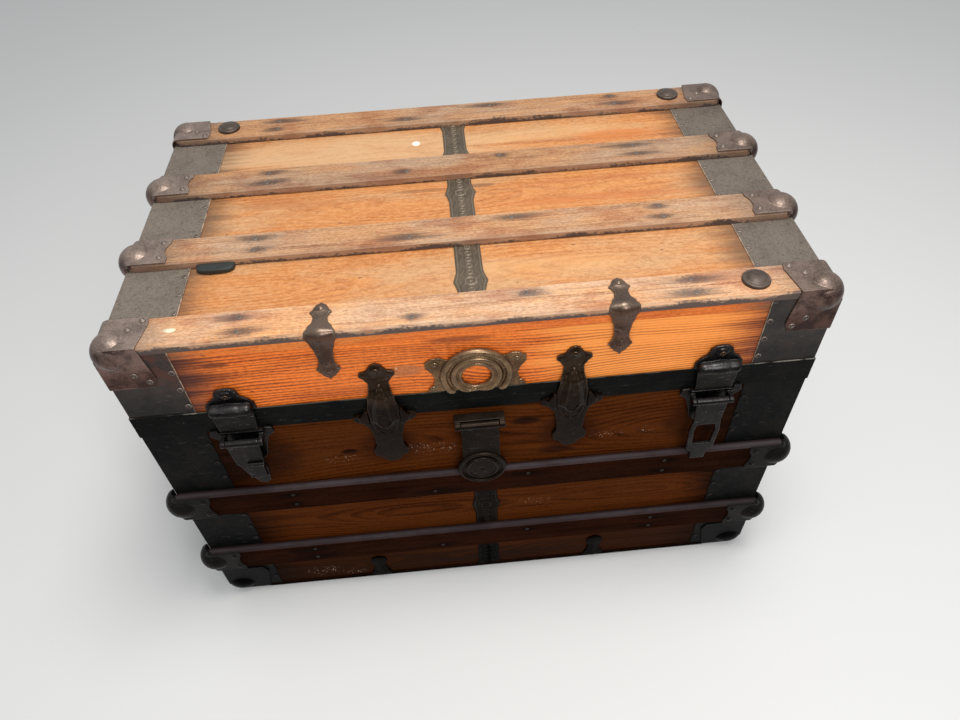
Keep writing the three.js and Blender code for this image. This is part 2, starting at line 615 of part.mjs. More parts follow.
function addHinges() {
  const third = (2 * HINGE_HALF) / 3;
  for (const [side, x] of [['left', -HINGE_X], ['right', HINGE_X]]) {
    const leaf = (bottom, top) => block(x - HINGE_HALF, x + HINGE_HALF,
      PLATE_Y, PLATE_Y + 2, bottom, top);
    const tab = (x0, x1, bottom, top) => block(x0, x1, PLATE_Y, HINGE_Y, bottom, top);
    const pinEnd = (centre, length) => rod('x', KNUCKLE_R, length, centre, HINGE_Y, SEAM, 20);
    const slack = 0.4;
    const middle = third / 2 - slack;
    const upperBarrel = pinEnd(x, 2 * middle)
      .add(tab(x - middle, x + middle, SEAM, SEAM + KNUCKLE_R));
    const upperFoot = block(x - middle, x + middle, PLATE_Y, PLATE_Y + 2, SEAM, SEAM + 8);
    addMesh(`hinge_upper_${side}`, leaf(SEAM + 5, SEAM + 55).add(upperBarrel).add(upperFoot), BRASS);
    let lower = leaf(SEAM - 55, SEAM - 5);
    for (const sign of [-1, 1]) {
      const x0 = x + sign * (third / 2 + slack);
      const x1 = x + sign * HINGE_HALF;
      lower = lower.add(pinEnd((x0 + x1) / 2, Math.abs(x1 - x0)))
        .add(tab(x0, x1, SEAM - KNUCKLE_R, SEAM - 0.5))
        .add(block(x0, x1, PLATE_Y, PLATE_Y + 2, SEAM - 8, SEAM - 0.5));
    }
    addMesh(`hinge_lower_${side}`, lower, BRASS);
  }
}

// ---- end handles ----------------------------------------------------------------------------

const HANDLE_DROP = 42;
const EYE_T = 14; // width of an eye along Y

function addHandles() {
  for (const [side, sx] of [['left', -1], ['right', 1]]) {
    const face = HALF_L + GAP;
    const half = HANDLE_SPAN / 2;
    let plate = block(sx * face, sx * (face + 2), -half - 38, half + 38, HANDLE_Z - 18, HANDLE_Z + 18);
    for (const sy of [-1, 1]) {
      const cap = block(sx * face, sx * HANDLE_PIVOT_X, sy * (half + 1), sy * (half + 1 + EYE_T),
        HANDLE_Z - 8, HANDLE_Z + 8)
        .add(rod('y', 8, EYE_T, sx * HANDLE_PIVOT_X, sy * (half + 1 + EYE_T / 2), HANDLE_Z, 20));
      plate = plate.add(cap);
    }
    addMesh(`handle_plate_${side}`, plate, BRASS);
    addMesh(`handle_${side}`, handleBail(sx, half), LEATHER);
  }
}

// Stitched strap: an arc that hangs between the two eyes.
function handleBail(sx, half) {
  const x = sx * HANDLE_PIVOT_X;
  const reach = half - 8;
  const path = new THREE.CatmullRomCurve3([
    new THREE.Vector3(x, -reach, HANDLE_Z),
    new THREE.Vector3(x, -reach, HANDLE_Z - 14),
    new THREE.Vector3(x, -reach + 14, HANDLE_Z - HANDLE_DROP + 6),
    new THREE.Vector3(x, -reach + 36, HANDLE_Z - HANDLE_DROP),
    new THREE.Vector3(x, reach - 36, HANDLE_Z - HANDLE_DROP),
    new THREE.Vector3(x, reach - 14, HANDLE_Z - HANDLE_DROP + 6),
    new THREE.Vector3(x, reach, HANDLE_Z - 14),
    new THREE.Vector3(x, reach, HANDLE_Z),
  ], false, 'catmullrom', 0.5);
  const section = new THREE.Shape();
  section.absellipse(0, 0, 6, 6, 0, 2 * Math.PI);
  const grip = new THREE.ExtrudeGeometry(section, {
    steps: 28, curveSegments: 5, extrudePath: path, bevelEnabled: false,
  });
  const ends = [-1, 1].map((sy) => rod('y', 7, 15, x, sy * (half - 7.5), HANDLE_Z, 20));
  return solid(grip).add(ends[0]).add(ends[1]);
}

addBoards();
addWraps();
addBands();
addSlats();
addSlatCaps();
addCornerCaps();
addLockRing();
addHasp();
addLocators();
addLatches();
addHinges();
addHandles();

export default trunk;
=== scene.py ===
"""Looks of the wooden trunk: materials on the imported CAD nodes, small metalwork, floor, light, camera."""
import math
import random
from types import SimpleNamespace

import bmesh
import bpy
from mathutils import Matrix, Vector


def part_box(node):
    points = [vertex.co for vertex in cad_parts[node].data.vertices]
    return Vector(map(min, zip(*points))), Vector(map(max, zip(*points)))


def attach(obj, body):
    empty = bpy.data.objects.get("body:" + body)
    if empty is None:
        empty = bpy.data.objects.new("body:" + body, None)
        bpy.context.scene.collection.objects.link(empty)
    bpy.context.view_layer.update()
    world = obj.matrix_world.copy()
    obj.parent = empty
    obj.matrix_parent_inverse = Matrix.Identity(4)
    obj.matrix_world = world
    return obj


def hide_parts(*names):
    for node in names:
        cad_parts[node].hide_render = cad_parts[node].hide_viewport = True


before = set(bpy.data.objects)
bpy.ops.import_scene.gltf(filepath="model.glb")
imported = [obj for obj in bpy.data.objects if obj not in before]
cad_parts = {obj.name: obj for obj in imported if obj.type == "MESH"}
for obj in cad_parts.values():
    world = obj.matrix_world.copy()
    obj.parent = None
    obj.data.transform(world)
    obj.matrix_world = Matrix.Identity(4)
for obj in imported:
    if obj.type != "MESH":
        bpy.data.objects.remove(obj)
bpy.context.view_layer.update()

SIDES = (("left", -1), ("right", 1))

# ---- places read from the frame ----

SHEET_LO, SHEET_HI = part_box("lid_left_wrap")
END_X = -SHEET_LO.x                     # outer face of the end sheets
WRAP_X = -SHEET_HI.x                    # inner edge of the end sheets
FRONT_Y = SHEET_LO.y                    # outer face of the sheets on the front
TOP_Z = SHEET_HI.z                      # outer face of the sheets on the lid top
BOARD_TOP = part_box("lid_top_board")[1].z
LID_FACE_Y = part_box("lid_front_board")[0].y
SLAT_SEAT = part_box("lid_slat_1")[0].z
SLAT_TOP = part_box("lid_slat_1")[1].z
SLAT_FACE_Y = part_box("front_slat_upper")[0].y
LID_SLATS = [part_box(f"lid_slat_{i}") for i in (1, 2, 3, 4)]
BAND_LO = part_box("case_band")[0]
BAND_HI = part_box("lid_band")[1]
CASE_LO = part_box("case_left_wrap")[0]
FLOOR_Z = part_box("bottom_slat_front")[0].z


# ---- node materials ----

PLAIN_IOR = 1.5
DULL_IOR = 1.25                         # of surfaces so rough that they do not mirror at low angles
DULL_SHINE = 0.1                        # the strongest mirroring that counts as dull


class Shader:
    """One node material. Each method adds a node and returns its output socket."""

    def __init__(self, name):
        self.material = bpy.data.materials.new(name)
        self.material.use_nodes = True
        self.tree = self.material.node_tree
        self.bsdf = self.tree.nodes["Principled BSDF"]
        coordinates = self.tree.nodes.new("ShaderNodeTexCoord")
        self.place = coordinates.outputs["Object"]
        self.facing = coordinates.outputs["Normal"]
        self.x, self.y, self.z = self.split(self.place)

    def put(self, socket, value):
        if isinstance(value, bpy.types.NodeSocket):
            self.tree.links.new(value, socket)
        else:
            socket.default_value = value

    def node(self, kind, **settings):
        made = self.tree.nodes.new("ShaderNode" + kind)
        for key, value in settings.items():
            setattr(made, key, value)
        return made

    def split(self, vector):
        made = self.node("SeparateXYZ")
        self.put(made.inputs[0], vector)
        return made.outputs[0], made.outputs[1], made.outputs[2]

    def join(self, x, y, z):
        made = self.node("CombineXYZ")
        for socket, value in zip(made.inputs, (x, y, z)):
            self.put(socket, value)
        return made.outputs[0]

    def math(self, operation, a, b=0.0):
        made = self.node("Math", operation=operation)
        for socket, value in zip(made.inputs, (a, b)):
            self.put(socket, value)
        return made.outputs[0]

    def times(self, a, b):
        return self.math("MULTIPLY", a, b)

    def over(self, a, b):
        return self.math("DIVIDE", a, b)

    def plus(self, a, b):
        return self.math("ADD", a, b)

    def minus(self, a, b):
        return self.math("SUBTRACT", a, b)

    def absolute(self, a):
        return self.math("ABSOLUTE", a)

    def sway(self, noise, reach):
        """A noise turned into a swing to both sides of 0."""
        return self.times(self.minus(noise, 0.5), reach)

    def ease(self, value, low, high, to_low=0.0, to_high=1.0):
        """Smooth step of the value between low and high, from to_low to to_high."""
        made = self.node("MapRange", interpolation_type="SMOOTHSTEP")
        for socket, number in zip(made.inputs, (value, low, high, to_low, to_high)):
            self.put(socket, number)
        return made.outputs[0]

    def noise(self, vector, scale=1.0, detail=3.0, roughness=0.55):
        made = self.node("TexNoise")
        names = ("Vector", "Scale", "Detail", "Roughness")
        for name, value in zip(names, (vector, scale, detail, roughness)):
            self.put(made.inputs[name], value)
        return made.outputs["Fac"]

    def mix(self, factor, a, b, blend="MIX"):
        made = self.node("Mix", data_type="RGBA", blend_type=blend)
        self.put(made.inputs[0], factor)
        self.put(made.inputs[6], colour(a))
        self.put(made.inputs[7], colour(b))
        return made.outputs[2]

    def tinted(self, base, tint, where=None):
        """The base colour times a tint, all over or where a mask says."""
        made = self.mix(1.0, base, tint, "MULTIPLY")
        return made if where is None else self.mix(where, base, made)

    def edges(self, low, high):
        """Mask of the mesh's outward edges, or of its inward creases where high is below low."""
        made = self.node("NewGeometry")
        return self.ease(made.outputs["Pointiness"], low, high)

    def bump(self, height, distance, strength=1.0):
        made = self.node("Bump")
        self.put(made.inputs["Height"], height)
        made.inputs["Distance"].default_value = distance
        made.inputs["Strength"].default_value = strength
        return made.outputs[0]

    def shine(self, level):
        """Sets how strongly the surface mirrors; a dull one also mirrors less at low angles."""
        self.bsdf.inputs["Specular IOR Level"].default_value = level
        self.bsdf.inputs["IOR"].default_value = PLAIN_IOR if level > DULL_SHINE else DULL_IOR

    def finish(self, base, roughness, normal=None, metallic=0.0):
        self.put(self.bsdf.inputs["Base Color"], base)
        self.put(self.bsdf.inputs["Roughness"], roughness)
        self.put(self.bsdf.inputs["Metallic"], metallic)
        if normal is not None:
            self.put(self.bsdf.inputs["Normal"], normal)
        return self.material


def colour(value):
    return (*value, 1.0) if isinstance(value, tuple) and len(value) == 3 else value


def stretched(s, along, across, shift=0.0):
    """Object coordinates with the grain direction, X, scaled apart from the two others."""
    x = s.plus(s.times(s.x, along), shift)
    return s.join(x, s.times(s.y, across), s.times(s.z, across))


ONE_PLANK = 0.30                        # for parts cut from a single board


def rings(s, v, plank, ring, wander, shift):
    """Growth rings where a plank cuts them: 0 in the pale wood, 1 in the dark line. plank is a board's
    width and ring the width of a year; returned with the shift that the board's other noises use."""
    index = s.math("FLOOR", s.over(v, plank))
    shift = s.plus(s.times(index, 3.7), shift)
    middle = s.times(s.plus(index, 0.5), plank)
    slack = s.noise(stretched(s, 1.6, 9.0, shift), 1.0, 2.0)
    jitter = s.noise(stretched(s, 14.0, 90.0, shift), 1.0, 2.0)
    slow = s.noise(stretched(s, 2.2, 5.0, s.plus(shift, 11.0)), 1.0, 1.0)
    bend = s.plus(s.sway(slack, wander), s.sway(jitter, ring * 0.9))
    local = s.plus(s.minus(v, middle), bend)
    depth = s.ease(slow, 0.25, 0.75, 0.004, 0.05)
    radius = s.math("SQRT", s.plus(s.times(local, local), s.times(depth, depth)))
    step = s.math("FRACT", s.over(radius, ring))
    rise = s.ease(step, 0.30, 0.84)
    fall = s.ease(step, 0.88, 1.0, 1.0, 0.0)
    return s.times(rise, fall), shift


def spot(s, x, v, at, size, ragged, rag=0.35):
    """Mask of one ragged spot: 1 in its middle, 0 outside."""
    dx = s.over(s.minus(x, at[0]), size[0])
    dv = s.over(s.minus(v, at[1]), size[1])
    far = s.math("SQRT", s.plus(s.times(dx, dx), s.times(dv, dv)))
    far = s.plus(far, s.sway(ragged, rag))
    return s.ease(far, 0.45, 1.0, 1.0, 0.0)


def spots(s, x, v, places, size, ragged, rag=0.35, seed=0.0):
    """Mask of many spots, each stretched and moved along the grain by its own amount."""
    total = 0.0
    for k, at in enumerate(places):
        own = math.sin(7.3 * k + 2.9 * seed)
        reach = (size[0] * (1 + 0.45 * own), size[1])
        moved = (at[0] + 0.25 * size[0] * math.sin(4.1 * k + seed), at[1])
        total = s.math("MAXIMUM", total, spot(s, x, v, moved, reach, ragged, rag))
    return total


def facing(s, axis, sign=1, low=0.4, high=0.9, amount=1.0):
    """Mask of the faces that look along an axis."""
    part = s.split(s.facing)["xyz".index(axis)]
    return s.ease(s.times(part, sign), low, high, 0.0, amount)


# Noises along the grain: scale along it, scale across it, detail, roughness, own shift.
PINE_NOISES = {
    "fibre": (22.0, 520.0, 3.0, 0.65, 0.0),
    "streak": (3.0, 75.0, 4.0, 0.62, 0.0),
    "cloud": (5.0, 13.0, 5.0, 0.62, 0.0),
    "blotch": (11.0, 30.0, 4.0, 0.6, 5.0),
    "pits": (90.0, 260.0, 2.0, 0.5, 0.0),
    "mottle": (170.0, 330.0, 3.0, 0.7, 0.0),
}
SLAT_NOISES = {
    "fibre": (30.0, 620.0, 3.0, 0.7, 0.0),
    "streak": (4.0, 130.0, 5.0, 0.68, 0.0),
    "cloud": (5.0, 16.0, 5.0, 0.65, 0.0),
    "speck": (200.0, 380.0, 3.0, 0.7, 0.0),
    "patch": (12.0, 26.0, 4.0, 0.62, 8.0),
}


def grain_noises(s, table, shift):
    made = SimpleNamespace()
    for name, (along, across, detail, roughness, own) in table.items():
        where = stretched(s, along, across, s.plus(shift, own) if own else shift)
        setattr(made, name, s.noise(where, 1.0, detail, roughness))
    return made


def varnished(s, n, lines, tones, faded):
    """Varnished softwood: growth lines, faded clouds, darker blotches, fibres and pits."""
    pale, dark, washed, dirty = tones
    base = s.mix(lines, pale, dark)
    base = s.mix(s.ease(n.streak, 0.5, 0.72, 0.0, 0.45), base, dark)
    base = s.mix(s.ease(n.cloud, 0.42, 0.66, 0.0, faded), base, washed)
    base = s.tinted(base, (0.74, 0.56, 0.42), s.ease(n.blotch, 0.5, 0.7, 0.0, 0.38))
    base = s.tinted(base, (0.62, 0.48, 0.38), s.ease(n.fibre, 0.46, 0.72, 0.0, 0.5))
    base = s.tinted(base, (0.60, 0.50, 0.42), s.ease(n.mottle, 0.40, 0.64, 0.0, 0.34))
    base = s.mix(s.ease(n.mottle, 0.60, 0.36, 0.0, 0.20), base, s.tinted(washed, (1.25, 1.3, 1.4)))
    return s.mix(s.ease(n.pits, 0.70, 0.76, 0.0, 0.7), base, dirty)


def end_grime(s, n, grime, reach, right):
    """Mask of the dirt that creeps in from the end sheets; right is how much of it the right end has
    and by how much it is narrower there."""
    ragged = s.plus(s.sway(n.streak, reach * 1.3), s.sway(n.cloud, reach))
    narrowed = s.times(s.ease(s.x, 0.0, 0.1), -right[1])
    edge = s.plus(s.plus(s.absolute(s.x), ragged), narrowed)
    return s.times(s.ease(edge, WRAP_X - reach, WRAP_X + 0.01, 0.0, grime),
                   s.ease(s.x, 0.0, 0.1, 1.0, right[0]))


def flecked(s, n, base, across, flecks):
    """Patches of fine pale scratches."""
    chips = s.noise(stretched(s, 420.0, 300.0, 3.0), 1.0, 4.0, 0.7)
    for at, size, amount, tint in flecks:
        worn = s.times(spot(s, s.x, across, at, size, n.blotch, 2.4), s.ease(chips, 0.60, 0.68))
        base = s.mix(s.times(worn, amount), base, tint)
    return base


def unvarnished(s, n, lines):
    pale, dark, washed, stain = BARE_TONES
    raw = s.mix(s.times(lines, s.ease(n.streak, 0.3, 0.62, 0.2, 0.6)), pale, dark)
    raw = s.mix(s.ease(n.cloud, 0.42, 0.66, 0.0, 0.6), raw, washed)
    return s.mix(s.ease(n.blotch, 0.55, 0.72, 0.0, 0.35), raw, stain)


def pine(name, v, tones, plank, ring, seed, line=0.7, faded=0.5, grime=0.8, reach=0.075,
         gloss=0.42, shine=0.3, side=None, stains=(), flecks=(), right=(1.0, 0.0), bare=None, turned=False):
    """Softwood board. v gives the coordinate across its grain; tones are the pale, dark line, faded and
    grime colours; side tints the faces that look forwards; bare is the axis and sign of the
    unvarnished inner face; a turned board's grain runs along Y."""
    s = Shader(name)
    if turned:
        s.x, s.y = s.y, s.x
    across = v(s)
    lines, shift = rings(s, across, plank, ring, 0.03, seed)
    n = grain_noises(s, PINE_NOISES, shift)
    drawn = s.times(lines, s.ease(n.streak, 0.3, 0.62, line * 0.25, line))
    base = varnished(s, n, drawn, tones, faded)
    if side is not None:
        base = s.tinted(base, side, facing(s, "y", -1))
    base = s.mix(end_grime(s, n, grime, reach, right), base, tones[3])
    for at, size, amount, tint in stains:
        thinned = s.ease(drawn, 0.0, 0.8, amount, amount * 0.45)
        base = s.mix(s.times(spot(s, s.x, across, at, size, n.streak, 0.9), thinned), base, tint)
    if flecks:
        base = flecked(s, n, base, across, flecks)
    if bare is not None:
        base = s.mix(facing(s, *bare), base, unvarnished(s, n, lines))
    rough = s.ease(n.streak, 0.2, 0.8, gloss - 0.08, gloss + 0.16)
    height = s.plus(s.times(lines, -0.4), s.plus(s.times(n.fibre, 0.6), s.times(n.pits, -0.3)))
    s.shine(shine)
    return s.finish(base, rough, s.bump(height, 0.0007, 0.7))


SLAT_RIM = (0.0255, 0.0295)             # where a slat's worn rim starts and is full, from its middle line


def weathered(s, n, v, lines, tones):
    """Weathered hardwood: faint lines, grey clouds, dark fibres, a paler rim and uneven patches."""
    pale, dark, grey, _ = tones
    base = s.mix(s.times(lines, 0.22), pale, dark)
    base = s.mix(s.ease(n.cloud, 0.40, 0.62, 0.0, 0.85), base, grey)
    base = s.mix(s.ease(n.streak, 0.46, 0.68, 0.0, 0.6), base, dark)
    base = s.mix(s.ease(n.fibre, 0.48, 0.70, 0.0, 0.55), base, dark)
    base = s.mix(s.ease(n.speck, 0.46, 0.66, 0.0, 0.36), base, dark)
    base = s.mix(s.ease(n.speck, 0.50, 0.36, 0.0, 0.32), base, s.tinted(grey, (1.35, 1.35, 1.3)))
    rim = s.ease(s.plus(s.absolute(v), s.times(n.cloud, 0.008)), *SLAT_RIM)
    base = s.mix(s.times(rim, 0.45), base, s.tinted(grey, (1.3, 1.25, 1.2)))
    base = s.tinted(base, (0.66, 0.46, 0.40), s.ease(n.patch, 0.48, 0.64, 0.0, 0.65))
    return s.tinted(base, (1.25, 1.2, 1.05), s.ease(n.patch, 0.46, 0.34, 0.0, 0.45))


def slat_wood(name, across, middle, tones, seed, nails, shade=1.0, shine=0.25, ledge=None, painted_shade_to=0.005):
    """Weathered slat with iron-stained nails, (x, offset from its middle line) each. ledge is the colour of
    the dust and painted highlight on upward faces, painted_shade_to the height up to which the front side is
    darkened as painted shade."""
    stain = tones[3]
    s = Shader(name)
    v = s.minus(s.y if across == "y" else s.z, middle)
    lines, shift = rings(s, s.plus(v, 0.04), ONE_PLANK, 0.0042, 0.02, seed * 1.7)
    n = grain_noises(s, SLAT_NOISES, shift)
    base = weathered(s, n, v, lines, tones)
    broken = s.plus(s.times(n.streak, 0.6), s.times(n.speck, 0.4))
    trail = spots(s, s.x, v, nails, (0.032, 0.0085), broken, 5.0, seed)
    core = spots(s, s.x, v, nails, (0.016, 0.0075), n.speck, 2.6, seed)
    base = s.mix(s.times(trail, 0.60), base, stain)
    base = s.mix(s.times(core, 0.42), base, stain)
    ends = s.ease(s.plus(s.absolute(s.x), s.times(n.cloud, 0.04)), WRAP_X, WRAP_X + 0.07, 0.0, 0.5)
    base = s.mix(ends, base, stain)
    if across == "y":
        # Painted shade: the lower part of the front side is darkened with the stain colour, up to a ragged
        # line.
        shade_rag = s.plus(s.sway(n.patch, 0.030), s.sway(n.speck, 0.016))
        low = s.ease(s.plus(s.z, shade_rag), SLAT_SEAT + painted_shade_to - 0.0045, SLAT_SEAT + painted_shade_to, 0.92, 0.2)
        base = s.mix(s.times(low, facing(s, "y", -1, 0.3, 0.8)), base, stain)
    if ledge is not None:
        # Dust and painted highlight, mostly on the ledge's outer part; the inner part is left dark as painted
        # shade.
        outer = s.ease(s.absolute(s.y), -LID_FACE_Y + 0.003, -LID_FACE_Y + 0.0065, 0.25, 1.0)
        outer = s.times(outer, s.ease(n.patch, 0.35, 0.6, 1.0, 0.65))
        base = s.mix(s.times(facing(s, "z", 1, 0.5, 0.9, 0.95), outer), base, ledge)
    base = s.tinted(base, (shade, shade, shade))
    rough = s.ease(n.streak, 0.2, 0.8, 0.5, 0.78)
    height = s.plus(s.times(n.streak, 0.7), s.times(n.fibre, 0.6))
    s.shine(shine)
    return s.finish(base, rough, s.bump(height, 0.0012, 0.8))


RUST = (0.095, 0.034, 0.024)            # on the lid's front left corner
RUST_UP = (0.490, 0.545)                # heights from which it shows and is full
RUST_LEFT = (-0.30, -0.36)


def aged(s, n, deep, worn, dusty, rust):
    """Dark metal with worn clouds, rust blotches, dust that settles on upward faces, and grit in it."""
    base = s.mix(s.ease(n.cloud, 0.38, 0.64, 0.0, 0.85), deep, worn)
    base = s.mix(s.times(s.ease(n.cloud, 0.54, 0.68), s.ease(n.fine, 0.4, 0.62)), base, rust)
    base = s.mix(n.settle, base, dusty)
    base = s.mix(s.times(n.up, s.ease(n.grit, 0.56, 0.68, 0.0, 0.35)), base, s.tinted(dusty, (1.6, 1.5, 1.4)))
    base = s.mix(s.times(n.up, s.ease(n.grit, 0.48, 0.36, 0.0, 0.35)), base, deep)
    base = s.mix(s.times(n.up, s.ease(n.flake, 0.44, 0.34, 0.0, 0.5)), base, deep)
    base = s.mix(s.ease(n.flake, 0.66, 0.72, 0.0, 0.55), base, s.tinted(dusty, (2.0, 1.85, 1.7)))
    return s.mix(s.ease(n.scratch, 0.66, 0.72, 0.0, 0.4), base, dusty)


def corner_rust(s, n):
    """Mask of the rust on the lid's front left corner."""
    near = s.times(s.ease(s.z, *RUST_UP), s.times(s.ease(s.x, *RUST_LEFT), facing(s, "y", -1)))
    return s.times(near, s.ease(s.noise(n.where, 55.0, 5.0, 0.7), 0.40, 0.58, 0.1, 1.0))


def scraped_end(s, n, edge_x):
    """Mask of the bare line along a sheet's inner edge."""
    near = s.absolute(s.minus(s.absolute(s.x), edge_x))
    line = s.times(s.ease(near, 0.0004, 0.0014, 1.0, 0.0), s.ease(n.cloud, 0.40, 0.58, 0.25, 1.0))
    return s.times(line, s.ease(n.flake, 0.38, 0.52, 0.3, 1.0))


def scraped_top(s, n, edge_z):
    """Mask of the bare line along a band's upper edge."""
    near = s.absolute(s.minus(s.z, edge_z))
    line = s.times(s.ease(near, 0.0005, 0.0014, 1.0, 0.0), s.ease(n.cloud, 0.42, 0.56))
    return s.times(line, s.ease(s.absolute(s.x), WRAP_X - 0.002, WRAP_X + 0.002, 0.25, 1.0))


def worn_edges_and_painted_light(s, n, base, deep, dusty, amount):
    """Brighter outward edges, worn and partly a painted highlight,
    and darker creases, partly grime and partly painted shade.
    """
    # Wear and painted highlight on the outward edges.
    scuffed_and_highlit = s.times(s.edges(0.515, 0.60), s.ease(n.fine, 0.3, 0.6, 0.45, 1.0))
    base = s.mix(s.times(scuffed_and_highlit, amount), base, dusty)
    # Grime and painted shade in the inward creases.
    return s.mix(s.times(s.edges(0.487, 0.42), 0.75), base, s.tinted(deep, (0.5, 0.45, 0.45)))


def metal_noises(s, seed, grain, dust):
    where = s.join(s.plus(s.x, seed), s.y, s.z)
    n = SimpleNamespace(where=where)
    n.cloud = s.noise(where, 22.0 * grain, 6.0, 0.68)
    n.fine = s.noise(where, 300.0 * grain, 4.0, 0.65)
    n.scratch = s.noise(s.join(s.times(s.x, 60.0), s.times(s.y, 330.0), s.times(s.z, 300.0)), 1.0, 2.0, 0.5)
    n.grit = s.noise(where, 520.0, 3.0, 0.7)
    n.flake = s.noise(where, 190.0, 4.0, 0.7)
    n.up = facing(s, "z", 1, 0.35, 0.95, dust)
    n.settle = s.times(n.up, s.ease(s.plus(s.times(n.cloud, 0.5), s.times(n.fine, 0.5)), 0.3, 0.6, 0.55, 1.0))
    return n


def patina(name, deep, worn, dusty, rust, seed, metal=0.75, gloss=0.38, dust=0.6, grain=1.0,
           shine=0.4, lit_edge=None, relief_mask=None, edge_wear_and_light=0.0, rusty_corner=0.0, painted_low_shade=None,
           lit_top=None, shade_from=(0.475, 0.445), right_shade=None):
    """Dark aged metal. lit_edge is the X and lit_top the Z of a scraped edge; relief_mask gives where
    raised work is worn; painted_low_shade is painted shade that darkens what lies below the heights
    shade_from, none to all, and right_shade darkens the right end."""
    s = Shader(name)
    n = metal_noises(s, seed, grain, dust)
    base = aged(s, n, deep, worn, dusty, rust)
    if rusty_corner:
        base = s.mix(s.times(corner_rust(s, n), rusty_corner), base, RUST)
    if lit_edge is not None:
        base = s.mix(scraped_end(s, n, lit_edge), base, s.tinted(dusty, (2.5, 2.2, 1.9)))
    if relief_mask is not None:
        raised = s.times(relief_mask(s), s.ease(n.fine, 0.3, 0.6, 0.5, 1.0))
        base = s.mix(raised, base, dusty)
    if lit_top is not None:
        base = s.mix(scraped_top(s, n, lit_top), base, s.tinted(dusty, (5.0, 4.6, 4.2)))
    if edge_wear_and_light:
        base = worn_edges_and_painted_light(s, n, base, deep, dusty, edge_wear_and_light)
    # Painted shade: darker below the heights shade_from, towards the floor.
    if painted_low_shade is not None:
        base = s.tinted(base, painted_low_shade, s.ease(s.plus(s.z, s.sway(n.cloud, 0.04)), *shade_from))
    # Darker towards the right end.
    if right_shade is not None:
        base = s.tinted(base, right_shade, s.ease(s.x, 0.0, 0.3))
    rough = s.plus(s.ease(n.fine, 0.25, 0.75, gloss, gloss + 0.2), s.times(n.settle, 0.2))
    height = s.plus(s.times(n.fine, 0.5), n.cloud)
    s.shine(shine)
    metallic = s.ease(n.settle, 0.0, 1.0, metal, metal * 0.35)
    return s.finish(base, rough, s.bump(height, 0.0006, 0.5), metallic)


def leather(name):
    s = Shader(name)
    crease = s.noise(s.place, 90.0, 5.0, 0.65)
    pore = s.noise(s.place, 700.0, 2.0, 0.5)
    base = s.mix(s.ease(crease, 0.35, 0.7), (0.05, 0.02, 0.012), (0.15, 0.065, 0.035))
    height = s.plus(crease, s.times(pore, 0.5))
    return s.finish(base, s.ease(pore, 0.3, 0.7, 0.45, 0.7), s.bump(height, 0.0008, 0.7))


def stage_paint(name, tint):
    s = Shader(name)
    speck = s.noise(s.place, 6.0, 3.0)
    base = s.mix(s.times(speck, 0.06), tint, (0.7, 0.7, 0.68))
    s.shine(DULL_SHINE)
    return s.finish(base, 0.9)


def chipped(name, tint, under):
    """Old paint or filler, uneven and thin in places."""
    s = Shader(name)
    patch = s.noise(s.place, 420.0, 4.0, 0.6)
    base = s.mix(s.ease(patch, 0.5, 0.75, 0.0, 0.6), tint, under)
    return s.finish(base, 0.6, s.bump(patch, 0.0004, 0.6))


# ---- material palette ----

# Woods: pale wood, dark line, faded wood and grime of a board; pale, dark, grey and stain of a slat.
BARE_TONES = ((0.44, 0.255, 0.12), (0.24, 0.115, 0.048), (0.47, 0.31, 0.17), (0.24, 0.13, 0.06))
LID_TOP_TONES = ((0.57, 0.232, 0.068), (0.34, 0.105, 0.032), (0.51, 0.305, 0.155), (0.11, 0.055, 0.03))
LID_FACE_TONES = ((0.93, 0.200, 0.019), (0.23, 0.030, 0.004), (0.92, 0.260, 0.048), (0.05, 0.014, 0.011))
LID_BACK_TONES = ((0.55, 0.150, 0.025), (0.20, 0.038, 0.008), (0.50, 0.185, 0.050), (0.05, 0.016, 0.008))
# The case's board and slat tones, front and back, are darker than the lid's: partly darker wood, partly
# painted shade.
CASE_BACK_TONES = ((0.21, 0.060, 0.012), (0.060, 0.015, 0.004), (0.21, 0.070, 0.020), (0.02, 0.008, 0.005))
CASE_FACE_TONES = ((0.086, 0.021, 0.003), (0.018, 0.004, 0.001), (0.076, 0.021, 0.0045),
                   (0.006, 0.002, 0.001))
LID_SLAT_TONES = ((0.55, 0.28, 0.128), (0.20, 0.090, 0.042), (0.46, 0.31, 0.205), (0.045, 0.034, 0.034))
CASE_SLAT_TONES = ((0.024, 0.0055, 0.0012), (0.007, 0.0016, 0.0006), (0.016, 0.0044, 0.0018),
                   (0.003, 0.0013, 0.0008))
LEDGE_DUST_AND_HIGHLIGHT = (0.068, 0.057, 0.062)      # dust and a painted highlight on the upward faces of the case's slats
SLAT_SHADES = (1.22, 0.95, 0.82, 0.86)  # brightness of the lid's slats, from the front
# Nails of every slat, as (x, offset from the slat's middle line).
NAIL_PATTERN = ((-0.270, -0.012), (-0.270, 0.012), (-0.070, -0.012), (0.065, 0.012),
                (0.262, -0.012), (0.262, 0.012))

LID_SHEET = patina("lid_sheet_metal", (0.030, 0.026, 0.024), (0.054, 0.046, 0.042), (0.203, 0.168, 0.136),
                   (0.07, 0.038, 0.027), 0.0, metal=0.4, gloss=0.42, dust=0.88, lit_edge=WRAP_X, shine=0.2,
                   rusty_corner=0.85, right_shade=(0.84, 0.84, 0.84), painted_low_shade=(0.50, 0.47, 0.46),
                   shade_from=(0.530, 0.478))
